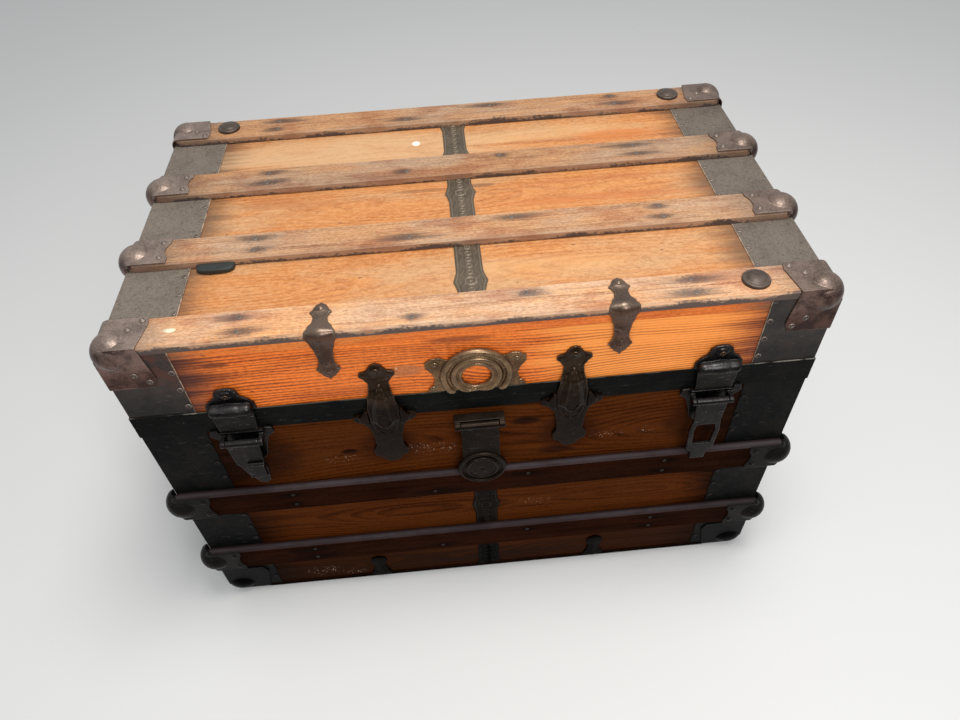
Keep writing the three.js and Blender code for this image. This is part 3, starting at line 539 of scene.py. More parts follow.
# Darker copy of the lid's sheet metal, for the case: partly darker metal, partly painted shade.
CASE_SHEET = patina("case_sheet_metal", (0.004, 0.0045, 0.0045), (0.009, 0.009, 0.008), (0.05, 0.045, 0.04),
                    (0.014, 0.008, 0.006), 0.6, metal=0.4, gloss=0.42, dust=0.6, shine=0.05)
BAND = patina("band_metal", (0.003, 0.0035, 0.003), (0.006, 0.007, 0.006), (0.05, 0.05, 0.045),
              (0.010, 0.007, 0.005), 1.3, metal=0.3, gloss=0.36, dust=0.6, shine=0.05, lit_top=BAND_HI.z)
CAP = patina("cap_metal", (0.060, 0.033, 0.028), (0.245, 0.160, 0.134), (0.29, 0.23, 0.19),
             (0.13, 0.055, 0.04), 2.7, metal=0.8, gloss=0.20, dust=0.7, grain=1.6, edge_wear_and_light=0.85,
             painted_low_shade=(0.60, 0.47, 0.43), shade_from=(0.568, 0.540), right_shade=(0.74, 0.70, 0.68))
# Darker copy of the cap metal, for the case's caps and feet: partly painted shade, with more painted shade
# towards the floor.
DARK_CAP = patina("dark_cap_metal", (0.0045, 0.0042, 0.0038), (0.010, 0.009, 0.008), (0.034, 0.032, 0.032),
                  (0.010, 0.007, 0.006), 3.4, metal=0.3, gloss=0.24, dust=0.35, grain=1.6, shine=0.08,
                  edge_wear_and_light=0.4, painted_low_shade=(0.15, 0.16, 0.21), shade_from=(0.10, 0.06))
CLAMP = patina("clamp_metal", (0.050, 0.026, 0.018), (0.125, 0.070, 0.048), (0.24, 0.185, 0.14),
               (0.06, 0.028, 0.018), 4.7, metal=0.85, gloss=0.18, dust=0.45, grain=1.5, shine=0.3,
               edge_wear_and_light=0.9)
BRASS = patina("fitting_metal", (0.017, 0.010, 0.006), (0.042, 0.025, 0.015), (0.19, 0.13, 0.09),
               (0.03, 0.013, 0.008), 4.1, metal=0.9, gloss=0.18, dust=0.30, grain=1.5, shine=0.1,
               edge_wear_and_light=0.7, painted_low_shade=(0.33, 0.26, 0.22))
OLD_BRASS = patina("bright_brass", (0.075, 0.038, 0.017), (0.22, 0.128, 0.062), (0.40, 0.28, 0.17),
                   (0.045, 0.018, 0.010), 5.3, metal=0.85, gloss=0.18, dust=0.35, grain=1.5, edge_wear_and_light=0.8)
LATCH = patina("latch_metal", (0.010, 0.0085, 0.0085), (0.024, 0.020, 0.019), (0.15, 0.145, 0.15),
               (0.022, 0.013, 0.010), 11.9, metal=0.85, gloss=0.16, dust=0.4, grain=1.5, shine=0.1,
               edge_wear_and_light=0.6, painted_low_shade=(0.75, 0.72, 0.7))
DARK_FITTING = patina("dark_fitting", (0.005, 0.0027, 0.0015), (0.011, 0.0064, 0.0038), (0.072, 0.055, 0.043),
                      (0.013, 0.007, 0.0045), 6.1, metal=0.65, gloss=0.22, dust=0.35, grain=1.5, shine=0.05,
                      edge_wear_and_light=0.45)
NAIL = patina("nail_metal", (0.028, 0.020, 0.017), (0.085, 0.062, 0.050), (0.33, 0.27, 0.23),
              (0.06, 0.03, 0.02), 7.7, metal=0.7, gloss=0.3, dust=0.4, grain=3.0, edge_wear_and_light=0.9)
DARK_NAIL = patina("dark_nail_metal", (0.007, 0.0055, 0.005), (0.018, 0.014, 0.012), (0.045, 0.038, 0.034),
                   (0.015, 0.009, 0.007), 9.2, metal=0.6, gloss=0.35, dust=0.4, grain=3.0, shine=0.12)
THREAD = chipped("handle_thread", (0.30, 0.22, 0.14), (0.14, 0.09, 0.05))


def above(axis, level, depth, sign=1):
    """Mask of the raised work on an embossed plate whose ground lies at `level` along an axis."""
    def mask(s):
        part = (s.x, s.y, s.z)["xyz".index(axis)]
        rise = s.times(s.minus(part, level), sign)
        return s.ease(rise, depth * 0.45, depth, 0.0, 0.9)
    return mask


BUTTON_IRON = patina("button_iron", (0.022, 0.014, 0.013), (0.065, 0.042, 0.035), (0.16, 0.125, 0.10),
                     (0.06, 0.030, 0.022), 10.3, metal=0.6, gloss=0.3, dust=0.5, grain=3.0, shine=0.3,
                     edge_wear_and_light=0.5)
STRAP = patina("strap_metal", (0.040, 0.030, 0.020), (0.080, 0.062, 0.040), (0.215, 0.17, 0.12),
               (0.07, 0.04, 0.025), 8.9, metal=0.5, gloss=0.36, dust=0.35, grain=2.0,
               relief_mask=above("z", BOARD_TOP, 0.0030), edge_wear_and_light=0.7)
# Darker copy of the strap metal, for the case's straps and bottom clamps: partly painted shade, with more
# painted shade towards the floor.
DARK_STRAP = patina("dark_strap_metal", (0.005, 0.0035, 0.0026), (0.011, 0.008, 0.006), (0.034, 0.027, 0.019),
                    (0.012, 0.008, 0.006), 9.7, metal=0.3, gloss=0.45, dust=0.3, grain=2.0, shine=0.05,
                    relief_mask=above("y", LID_FACE_Y, 0.0034, -1),
                    painted_low_shade=(0.12, 0.12, 0.13), shade_from=(0.10, 0.07))


# ---- finishing the CAD nodes ----

def paint(node, material):
    """Replaces a CAD node's material, on every slot it has."""
    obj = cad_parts[node]
    if not obj.material_slots:
        obj.data.materials.append(material)
    for place in obj.material_slots:
        place.material = material
    return obj


def soften(obj, width, segments=2):
    """Eases a node's sharp edges."""
    bevel = obj.modifiers.new("eased", "BEVEL")
    bevel.width = width
    bevel.segments = segments
    bevel.limit_method = "ANGLE"
    bevel.angle_limit = math.radians(32)
    bevel.harden_normals = False


CAST_VOXEL = 0.0008
FINE_VOXEL = 0.0007                     # for fittings with narrow necks and slots
HANDLE_VOXEL = 0.0012


def cast(obj, voxel=CAST_VOXEL):
    """Gives a node the rounded edges of cast or pressed metal."""
    remesh = obj.modifiers.new("even", "REMESH")
    remesh.mode = "VOXEL"
    remesh.voxel_size = voxel
    remesh.use_smooth_shade = True
    smooth = obj.modifiers.new("rounded", "SMOOTH")
    smooth.factor = 0.5
    smooth.iterations = 3


def across_top(offset):
    """Across the grain of a level board, carried on down its edges."""
    return lambda s: s.plus(s.plus(s.y, s.z), offset - BOARD_TOP)


def across_face(offset):
    return lambda s: s.plus(s.z, offset)


TOP_BAY = 0.1545                        # boards of the lid top, one under each gap between slats
HALF_BAY = TOP_BAY / 2
CASE_BAY = 0.155                        # boards of the case's front and back
CASE_BAY_FROM = 0.038                   # how much of the lowest one lies below the floor line
SCUFF = (0.60, 0.47, 0.37)

# Marks on the boards: (x, y on the lid top or z on a front), (half length, half width), amount, colour.
TOP_STAINS = (
    ((-0.20, 0.02), (0.05, 0.012), 0.35, (0.40, 0.17, 0.07)),
    ((0.19, 0.03), (0.16, 0.010), 0.35, (0.36, 0.11, 0.04)),
    ((0.03, 0.035), (0.03, 0.006), 0.6, (0.12, 0.05, 0.03)),
    ((-0.15, 0.150), (0.30, 0.060), 0.55, (0.58, 0.37, 0.20)),
    ((0.14, 0.160), (0.16, 0.030), 0.45, (0.60, 0.36, 0.17)),
    ((0.25, 0.142), (0.09, 0.018), 0.75, (0.52, 0.17, 0.045)),
    ((0.20, -0.015), (0.20, 0.012), 0.55, (0.46, 0.14, 0.04)),
    ((-0.26, 0.030), (0.06, 0.020), 0.45, (0.33, 0.12, 0.045)),
    ((0.10, -0.150), (0.14, 0.030), 0.40, (0.60, 0.34, 0.15)),
    ((-0.05, 0.032), (0.05, 0.006), 0.6, (0.20, 0.08, 0.04)),
)
FACE_STAINS = (
    ((-0.087, 0.507), (0.030, 0.013), 0.7, (0.30, 0.12, 0.055)),
    ((-0.305, 0.545), (0.022, 0.006), 0.8, (0.10, 0.02, 0.01)),
    ((0.13, 0.555), (0.05, 0.005), 0.4, (0.3, 0.05, 0.02)),
    ((0.20, 0.520), (0.16, 0.130), 0.75, (1.0, 0.37, 0.078)),
    ((-0.16, 0.478), (0.10, 0.012), 0.35, (0.22, 0.03, 0.006)),
    ((-0.02, 0.553), (0.05, 0.006), 0.7, (0.10, 0.02, 0.01)),
)
FACE_FLECKS = (
    ((-0.087, 0.507), (0.028, 0.012), 0.9, (0.80, 0.52, 0.30)),
)
CASE_STAINS_AND_SHADE = (
    ((0.062, 0.39), (0.026, 0.012), 0.9, (0.008, 0.003, 0.002)),
    ((0.104, 0.318), (0.036, 0.012), 0.8, (0.010, 0.004, 0.003)),
    ((-0.178, 0.355), (0.014, 0.009), 0.9, (0.006, 0.002, 0.001)),
    ((-0.121, 0.36), (0.055, 0.045), 0.6, (0.010, 0.003, 0.002)),
    ((0.121, 0.36), (0.055, 0.045), 0.6, (0.010, 0.003, 0.002)),
    ((-0.30, 0.36), (0.075, 0.070), 0.7, (0.008, 0.003, 0.002)),
    ((0.30, 0.36), (0.060, 0.070), 0.6, (0.010, 0.003, 0.002)),
    # The next two wide marks darken the boards towards the floor: painted shade, not stains.
    ((-0.20, 0.030), (0.42, 0.062), 0.85, (0.013, 0.0055, 0.003)),
    ((0.22, 0.030), (0.38, 0.062), 0.80, (0.015, 0.0065, 0.004)),
)
CASE_FLECKS = (
    ((-0.070, 0.350), (0.045, 0.016), 0.6, SCUFF),
    ((-0.190, 0.345), (0.030, 0.018), 0.6, SCUFF),
    ((0.112, 0.345), (0.018, 0.013), 0.9, SCUFF),
    ((0.172, 0.340), (0.030, 0.012), 1.0, SCUFF),
    ((0.235, 0.345), (0.020, 0.010), 0.8, SCUFF),
    ((0.080, 0.185), (0.030, 0.016), 0.6, SCUFF),
    ((-0.275, 0.032), (0.030, 0.016), 0.8, SCUFF),
    ((-0.224, 0.022), (0.022, 0.010), 0.8, SCUFF),
)


def shifted(marks, shift):
    """The same marks, moved across the grain."""
    return [((x, v + shift), size, amount, tint) for (x, v), size, amount, tint in marks]


def finish_lid_boards():
    paint("lid_top_board", pine("lid_top_pine", across_top(HALF_BAY), LID_TOP_TONES, TOP_BAY, 0.0058, 1.0,
                                line=0.5, faded=0.75, grime=0.85, reach=0.05, gloss=0.5,
                                side=(1.5, 0.84, 0.33), stains=shifted(TOP_STAINS, HALF_BAY), bare=("z", -1)))
    paint("lid_front_board", pine("lid_face_pine", across_face(0), LID_FACE_TONES, ONE_PLANK, 0.0044, 2.0,
                                  line=1.25, faded=0.3, grime=0.97, reach=0.075, gloss=0.4, shine=0.2,
                                  stains=FACE_STAINS, flecks=FACE_FLECKS, right=(0.85, 0.004),
                                  bare=("y", 1)))
    paint("lid_back_board", pine("lid_back_pine", across_face(0), LID_BACK_TONES, ONE_PLANK, 0.005, 5.0,
                                 line=0.8, faded=0.5, grime=0.9, bare=("y", -1)))


def finish_case_boards():
    across = across_face(CASE_BAY_FROM)
    paint("case_front_board", pine("case_face_pine", across, CASE_FACE_TONES, CASE_BAY, 0.0062, 3.0,
                                   line=0.8, faded=0.5, grime=0.9, gloss=0.5, shine=0.03,
                                   stains=shifted(CASE_STAINS_AND_SHADE, CASE_BAY_FROM),
                                   flecks=shifted(CASE_FLECKS, CASE_BAY_FROM), bare=("y", 1)))
    paint("case_back_board", pine("case_back_pine", across, CASE_BACK_TONES, CASE_BAY, 0.0062, 6.0,
                                  line=0.8, faded=0.5, grime=0.9, shine=0.15, bare=("y", -1)))
    paint("case_bottom_board", pine("bottom_pine", across_top(HALF_BAY), BARE_TONES, TOP_BAY, 0.006, 8.0,
                                    line=0.6, grime=0.0, gloss=0.6))


def finish_end_boards():
    inside = pine("inside_pine", across_face(CASE_BAY_FROM), BARE_TONES, CASE_BAY, 0.006, 7.0,
                  line=0.6, grime=0.0, gloss=0.6, turned=True)
    for node in ("case_left_board", "case_right_board", "lid_left_board", "lid_right_board"):
        paint(node, inside)


def ease_boards():
    for node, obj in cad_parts.items():
        if node.endswith("_board"):
            soften(obj, 0.0006, 1)


def finish_skins():
    for side, _ in SIDES:
        soften(paint(f"case_{side}_wrap", CASE_SHEET), 0.0004, 1)
        soften(paint(f"lid_{side}_wrap", LID_SHEET), 0.0004, 1)
    for node in ("case_band", "lid_band"):
        soften(paint(node, BAND), 0.0004, 1)


def middle_of(node, axis):
    low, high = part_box(node)
    return (low[axis] + high[axis]) / 2


def finish_slats():
    for i in (1, 2, 3, 4):
        node = f"lid_slat_{i}"
        wood = slat_wood(node + "_wood", "y", middle_of(node, 1), LID_SLAT_TONES, i, NAIL_PATTERN,
                         SLAT_SHADES[i - 1], painted_shade_to=0.0085 if i == 1 else 0.005)
        soften(paint(node, wood), 0.0016)
    for i, node in enumerate(("front_slat_upper", "front_slat_lower", "back_slat_upper", "back_slat_lower")):
        wood = slat_wood(node + "_wood", "z", middle_of(node, 2), CASE_SLAT_TONES, i + 6, NAIL_PATTERN,
                         shine=0.03, ledge=LEDGE_DUST_AND_HIGHLIGHT)
        soften(paint(node, wood), 0.0014)
    for i, node in enumerate(("bottom_slat_front", "bottom_slat_back")):
        wood = slat_wood(node + "_wood", "y", middle_of(node, 1), CASE_SLAT_TONES, i + 12, NAIL_PATTERN,
                         shine=0.03)
        soften(paint(node, wood), 0.0014)


def finish_fittings():
    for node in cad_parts:
        if node.startswith("lid") and ("_cap_" in node or "_corner_" in node):
            cast(paint(node, CAP))
        elif "_cap_" in node:
            cast(paint(node, DARK_CAP))
    cast(paint("lid_lock_ring", OLD_BRASS), FINE_VOXEL)
    cast(paint("hasp", DARK_FITTING))
    cast(paint("hasp_bracket", DARK_FITTING))
    fine = {"lid_tongue": BRASS, "case_socket": BRASS, "latch_catch": LATCH, "latch_base": LATCH,
            "latch_lever": LATCH}
    plates = {"hinge_upper": 0.0004, "hinge_lower": 0.0004, "handle_plate": 0.0005}
    for side, _ in SIDES:
        for kind, metal in fine.items():
            cast(paint(f"{kind}_{side}", metal), FINE_VOXEL)
        for kind, width in plates.items():
            soften(paint(f"{kind}_{side}", DARK_FITTING), width)
        cast(paint(f"handle_{side}", leather(f"handle_leather_{side}")), HANDLE_VOXEL)


# ---- building small pieces ----

def link(obj):
    bpy.context.scene.collection.objects.link(obj)
    return obj


def new_piece(name, mesh_maker, material, body):
    """A mesh object from a bmesh that mesh_maker fills, riding on a body."""
    bm = bmesh.new()
    mesh_maker(bm)
    bmesh.ops.recalc_face_normals(bm, faces=bm.faces)
    mesh = bpy.data.meshes.new(name)
    bm.to_mesh(mesh)
    bm.free()
    for polygon in mesh.polygons:
        polygon.use_smooth = True
    obj = link(bpy.data.objects.new(name, mesh))
    mesh.materials.append(material)
    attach(obj, body)
    return obj


def profile(points):
    """Smooth function through (position, value) points."""
    def value(t):
        if t <= points[0][0]:
            return points[0][1]
        for (t0, v0), (t1, v1) in zip(points, points[1:]):
            if t <= t1:
                part = (t - t0) / (t1 - t0)
                part = part * part * (3 - 2 * part)
                return v0 + (v1 - v0) * part
        return points[-1][1]
    return value


def relief(bm, half_width, start, end, height, put, rows, columns):
    """Closed strip from start to end: half_width(t) across, height(s, t) deep, placed by put(u, t, h)."""
    grid = []
    for i in range(rows + 1):
        t = start + (end - start) * i / rows
        line = []
        for j in range(columns + 1):
            s = 2 * j / columns - 1
            line.append(bm.verts.new(put(s * half_width(t), t, height(s, t))))
        grid.append(line)
    for i in range(rows):
        for j in range(columns):
            bm.faces.new((grid[i][j], grid[i][j + 1], grid[i + 1][j + 1], grid[i + 1][j]))
    floor = []
    for i in range(rows + 1):
        t = start + (end - start) * i / rows
        floor.append([bm.verts.new(put(s * half_width(t), t, 0.0)) for s in (-1, 1)])
    for i in range(rows):
        bm.faces.new((floor[i][0], floor[i][1], floor[i + 1][1], floor[i + 1][0]))
        bm.faces.new((grid[i][0], grid[i + 1][0], floor[i + 1][0], floor[i][0]))
        bm.faces.new((grid[i][-1], floor[i][1], floor[i + 1][1], grid[i + 1][-1]))
    for i in (0, rows):
        bm.faces.new([*grid[i], floor[i][1], floor[i][0]])


def lathe(bm, at, normal, outline, around=14):
    """Closed round piece standing on a face. outline is (radius, height) pairs from the foot's edge
    to the middle; the last radius is 0."""
    normal = Vector(normal).normalized()
    side = normal.orthogonal().normalized()
    other = normal.cross(side)
    at = Vector(at)
    loops = []
    for radius, height in outline[:-1]:
        loops.append([bm.verts.new(at + normal * height + (side * math.cos(a) + other * math.sin(a)) * radius)
                      for a in (2 * math.pi * k / around for k in range(around))])
    for low, high in zip(loops, loops[1:]):
        for k in range(around):
            n = (k + 1) % around
            bm.faces.new((low[k], low[n], high[n], high[k]))
    crown = bm.verts.new(at + normal * outline[-1][1])
    for k in range(around):
        bm.faces.new((loops[-1][k], loops[-1][(k + 1) % around], crown))
    bm.faces.new(list(reversed(loops[0])))


def studs(name, places, outline, material, body, around=14):
    """One piece of many equal nail or rivet heads. places are (point, normal)."""
    def make(bm):
        for at, normal in places:
            lathe(bm, at, normal, outline, around)
    return new_piece(name, make, material, body)


# Heads, as (radius, height) from the foot's edge to the middle.
NAIL_HEAD = ((0.0038, 0.0), (0.0037, 0.0009), (0.0030, 0.0013), (0.0023, 0.0009), (0.0014, 0.0007),
             (0, 0.0007))
SUNK_NAIL = ((0.0030, 0.0), (0.0028, 0.0005), (0.0021, 0.0006), (0.0012, 0.0003), (0, 0.0003))
RIVET = ((0.0040, 0.0), (0.0038, 0.0010), (0.0028, 0.0014), (0.0022, 0.0016), (0.0015, 0.0024), (0, 0.0026))
BUTTON = ((0.0168, 0.0), (0.0167, 0.0028), (0.0158, 0.0042), (0.0138, 0.0044), (0.0122, 0.0040),
          (0.0108, 0.0056), (0.0078, 0.0070), (0.0040, 0.0076), (0, 0.0077))
STITCH = ((0.0012, 0.0), (0.0011, 0.0004), (0.0006, 0.0008), (0, 0.0009))
TACK = ((0.0065, 0.0), (0.0063, 0.0008), (0.0050, 0.0014), (0.0025, 0.0017), (0, 0.0018))


# ---- nails and rivets ----

NAIL_INSET = 0.005                      # from a sheet's inner edge
UP = (0, 0, 1)
FORE = (0, -1, 0)
AFT = (0, 1, 0)


def gaps(slat_boxes, axis):
    """Middles of the spaces between neighbouring slats."""
    spans = sorted((low[axis], high[axis]) for low, high in slat_boxes)
    return [(a[1] + b[0]) / 2 for a, b in zip(spans, spans[1:])]


def add_wrap_nails():
    """Nails down the inner edges of the end sheets, between the slats."""
    lid = []
    case = []
    upper, lower = middle_of("front_slat_upper", 2), middle_of("front_slat_lower", 2)
    case_levels = [BAND_LO.z - 0.028, BAND_LO.z - 0.068, upper + 0.055, upper - 0.045, (upper + lower) / 2,
                   lower + 0.045, lower - 0.042, lower - 0.082]
    for _, sign in SIDES:
        x = sign * (WRAP_X + NAIL_INSET)
        for middle in gaps(LID_SLATS, 1):
            for step in (-0.034, 0.0, 0.034):
                lid.append(((x, middle + step, TOP_Z), UP))
        for drop in (0.033, 0.063, 0.093):
            lid.append(((x, FRONT_Y, TOP_Z - drop), FORE))
            lid.append(((x, -FRONT_Y, TOP_Z - drop), AFT))
        for z in case_levels:
            case.append(((x, FRONT_Y, z), FORE))
            case.append(((x, -FRONT_Y, z), AFT))
    studs("lid_wrap_nails", lid, NAIL_HEAD, NAIL, "lid")
    studs("case_wrap_nails", case, NAIL_HEAD, DARK_NAIL, "case")


def add_end_nails():
    """Nails up both edges of the end sheets and along the edge at the seam, `level`."""
    columns = 11
    edge_y = FRONT_Y + 0.012
    first_y = FRONT_Y + 0.03
    lid = (BAND_HI.z + 0.010, TOP_Z - 0.010)
    case = (CASE_LO.z + 0.012, BAND_LO.z - 0.010)
    for body, (low, high), level, steps in (("lid", lid, lid[0], 4), ("case", case, case[1], 9)):
        places = []
        for _, sign in SIDES:
            for y in (edge_y, -edge_y):
                for k in range(1, steps):
                    places.append(((sign * END_X, y, low + (high - low) * k / steps), (sign, 0, 0)))
            for k in range(columns):
                y = first_y - 2 * first_y * k / (columns - 1)
                places.append(((sign * END_X, y, level), (sign, 0, 0)))
        studs(f"{body}_end_nails", places, NAIL_HEAD, DARK_NAIL, body)


HANDLE_PLATE = 0.0023                   # thickness of a handle plate
SEAM_HALF = 0.036                       # half the length of a handle's seam
SEAM_STITCHES = 14


def add_handle_trim():
    """Screws in the handle plates and a sewn seam along each handle's outside."""
    screws = []
    for side, sign in SIDES:
        low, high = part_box(f"handle_plate_{side}")
        z = (low.z + high.z) / 2
        face = sign * (END_X + HANDLE_PLATE)
        for y in (low.y + 0.010, high.y - 0.010):
            for dz in (-0.010, 0.010):
                screws.append(((face, y, z + dz), (sign, 0, 0)))
        grip_low, grip_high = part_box(f"handle_{side}")
        x = (grip_high.x if sign > 0 else grip_low.x) - sign * 0.0012
        z = grip_low.z + 0.006
        seam = [((x, -SEAM_HALF + 2 * SEAM_HALF * k / (SEAM_STITCHES - 1), z + dz), (sign, 0, 0))
                for k in range(SEAM_STITCHES) for dz in (-0.0018, 0.0018)]
        studs(f"handle_seam_{side}", seam, STITCH, THREAD, f"handle_{side}", 8)
    studs("case_handle_screws", screws, RIVET, DARK_NAIL, "case")


def add_slat_nails():
    lid = []
    for i in (1, 2, 3, 4):
        y = middle_of(f"lid_slat_{i}", 1)
        lid += [((x, y + v, SLAT_TOP), UP) for x, v in NAIL_PATTERN]
    case = []
    for node in ("front_slat_upper", "front_slat_lower"):
        z = middle_of(node, 2)
        case += [((x, SLAT_FACE_Y, z + v), FORE) for x, v in NAIL_PATTERN]
        case += [((x, -SLAT_FACE_Y, z + v), AFT) for x, v in NAIL_PATTERN]
    studs("lid_slat_nails", lid, SUNK_NAIL, NAIL, "lid")
    studs("case_slat_nails", case, SUNK_NAIL, DARK_NAIL, "case")


CAP_SHEET = 0.0018                      # thickness of a cap over its slat


def inner_end(node, sign):
    """The end of a left (sign -1) or right node that is nearer to the trunk's middle."""
    low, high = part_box(node)
    return high.x if sign < 0 else low.x


def add_cap_rivets():
    lid = []
    case = []
    inset = 0.010
    spread = 0.015
    for side, sign in SIDES:
        for i in (2, 3):
            node = f"lid_slat_{i}_cap_{side}"
            x = inner_end(node, sign) + sign * inset
            y = middle_of(node, 1)
            lid += [((x, y + v, SLAT_TOP + CAP_SHEET), UP) for v in (-spread, spread)]
        for level in ("upper", "lower"):
            node = f"front_slat_{level}_cap_{side}"
            x = inner_end(node, sign) + sign * inset
            z = middle_of(node, 2)
            case += [((x, SLAT_FACE_Y - CAP_SHEET, z + v), FORE) for v in (-spread, spread)]
        for face, way in (("front", -1), ("back", 1)):
            node = f"lid_corner_{face}_{side}"
            x = inner_end(node, sign)
            y = -way * FRONT_Y
            for along, across in ((0.008, 0.044), (0.022, 0.030)):
                lid.append(((x + sign * along, y - way * across, SLAT_TOP + CAP_SHEET), UP))
            for along, rise in ((0.009, 0.010), (0.023, 0.022)):
                place = (x + sign * along, y + way * CAP_SHEET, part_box(node)[0].z + rise)
                lid.append((place, (0, way, 0)))
    studs("lid_cap_rivets", lid, RIVET, NAIL, "lid")
    studs("case_cap_rivets", case, RIVET, DARK_NAIL, "case")


# ---- embossed straps and slat clamps ----

STRAP_PITCH = 0.095                     # from one pointed bulge of a centre strap to the next
STRAP_HALF = 0.0170                     # half its width, and how much more that is at a bulge
STRAP_BULGE = 0.0046
BULGE_REACH = 0.021
SLAT_CLEAR = 0.0006                     # between a strap's end and the slat beside it


def from_bulge(t, phase):
    """Signed distance to the nearest bulge."""
    return (t - phase + STRAP_PITCH / 2) % STRAP_PITCH - STRAP_PITCH / 2


def boss_ring(u, along, centre, radius, width):
    """Raised ring with a dot in it, on the strap's middle line."""
    reach = math.hypot(u, along - centre)
    ring = math.exp(-((reach - radius) / width) ** 2)
    return ring + 0.8 * math.exp(-(reach / (radius * 0.35)) ** 2)


def strap_height(along, s, u):
    """Relief of an embossed strap: a rim, a flower at each bulge, beads and scrolls between."""
    rim = 0.0012 * math.exp(-((abs(s) - 0.84) / 0.07) ** 2)
    flower = boss_ring(u, along, 0.0, 0.0068, 0.0013)
    beads = sum(boss_ring(u, abs(along), centre, 0.0036, 0.0010) for centre in (0.0165, 0.0290, 0.0415))
    curl = math.sin(abs(u) * 900 + math.cos(along * 260) * 2.2)
    scroll = 0.0006 * max(0.0, curl) * (abs(u) > 0.0065) * (abs(s) < 0.72)
    return 0.0012 + rim + 0.0014 * flower + 0.0013 * beads + scroll


def add_strap(name, start, end, phase, put, body):
    """Centre strap between slats at start and end, with a bulge at `phase` and every pitch from there."""
    start += SLAT_CLEAR
    end -= SLAT_CLEAR

    def half_width(t):
        return STRAP_HALF + STRAP_BULGE * max(0.0, 1 - abs(from_bulge(t, phase)) / BULGE_REACH) ** 1.4

    def height(s, t):
        return strap_height(from_bulge(t, phase), s, s * half_width(t))

    def make(bm):
        rows = int((end - start) / 0.0008)
        relief(bm, half_width, start, end, height, put, rows, 44)
    return new_piece(name, make, STRAP if body == "lid" else DARK_STRAP, body)


STRAP_X = 0.003
LID_BULGE = 0.018                       # Y of a bulge of the lid's strap
CASE_BULGE = 0.195                      # Z of a bulge of the case's strap


def add_straps():
    def on_top(u, t, h):
        return (STRAP_X + u, t, BOARD_TOP + 0.0002 + h)

    def on_front(u, t, h):
        return (STRAP_X + u, LID_FACE_Y - 0.0002 - h, t)

    spans = [(a[1].y, b[0].y) for a, b in zip(LID_SLATS, LID_SLATS[1:])]
    for i, (start, end) in enumerate(spans):
        add_strap(f"lid_strap_{i + 1}", start, end, LID_BULGE, on_top, "lid")
    (upper_lo, _), (lower_lo, lower_hi) = (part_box(f"front_slat_{level}") for level in ("upper", "lower"))
    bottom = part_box("case_front_board")[0]
    spans = ((lower_hi.z, upper_lo.z), (bottom.z, lower_lo.z))
    for i, (start, end) in enumerate(spans):
        add_strap(f"case_strap_{i + 1}", start, end, CASE_BULGE, on_front, "case")


CLAMP_X = 0.175
CLAMP_THICK = 0.0016
CLAMP_LENGTH = 0.121
CLAMP_RUN = 0.048                       # the part of it that lies on the slat
# Half its width, by the distance from its upper end.
CLAMP_WIDTHS = profile([
    (0.000, 0.0015), (0.003, 0.0065), (0.008, 0.0088), (0.011, 0.0100), (0.0145, 0.0132), (0.018, 0.0105),
    (0.023, 0.0086), (0.030, 0.0092), (0.040, 0.0145), (0.048, 0.0182), (0.054, 0.0180), (0.064, 0.0140),
    (0.076, 0.0108), (0.088, 0.0092), (0.094, 0.0094), (0.100, 0.0112), (0.106, 0.0148), (0.110, 0.0118),
    (0.116, 0.0078), (CLAMP_LENGTH, 0.0015)])


def clamp_height(s, t):
    """Relief of a slat clamp: a ridge down the face, a knob at the top and a swell over the edge."""
    ridge = 0.0020 * math.exp(-(s / 0.5) ** 2) * min(1.0, max(0.0, (t - 0.022) / 0.012))
    knob = 0.0026 * math.exp(-((t - 0.009) / 0.006) ** 2 - (s / 0.6) ** 2)
    swell = 0.0030 * math.exp(-((t - 0.052) / 0.009) ** 2) * (1 - s * s)
    edge = 0.0008 * (1 - abs(s) ** 8)
    return CLAMP_THICK + ridge + knob + swell + edge


def over_edge(x, run, face_y, top_z):
    """Placing function: along -Y on a top face for `run`, round the edge, then down the front face."""
    turn = 0.003

    def put(u, t, h):
        arc = turn * math.pi / 2
        if t < run - turn:
            return (x + u, face_y + run - t, top_z + h)
        if t < run - turn + arc:
            angle = (t - run + turn) / turn
            reach = turn + h
            return (x + u, face_y + turn - reach * math.sin(angle), top_z - turn + reach * math.cos(angle))
        down = t - (run - turn + arc)
        return (x + u, face_y - h, top_z - turn - down)
    return put


def add_slat_clamps():
    places = []
    for side, sign in SIDES:
        x = sign * CLAMP_X
        put = over_edge(x, CLAMP_RUN, FRONT_Y - 0.0005, SLAT_TOP + 0.0002)

        def make(bm, put=put):
            relief(bm, CLAMP_WIDTHS, 0.0, CLAMP_LENGTH, clamp_height, put, 96, 16)
        new_piece(f"lid_slat_clamp_{side}", make, CLAMP, "lid")
        places.append(((x, FRONT_Y + CLAMP_RUN - 0.011, SLAT_TOP + 0.004), UP))
        for t in (0.098, 0.109):
            places.append(((x, FRONT_Y - 0.0035, SLAT_TOP + CLAMP_RUN - t), FORE))
    studs("lid_clamp_rivets", places, RIVET, CLAMP, "lid")


BOTTOM_CLAMP_X = 0.180
BOTTOM_CLAMP_TOP = CASE_LO.z + 0.055
BOTTOM_CLAMP_LENGTH = 0.058


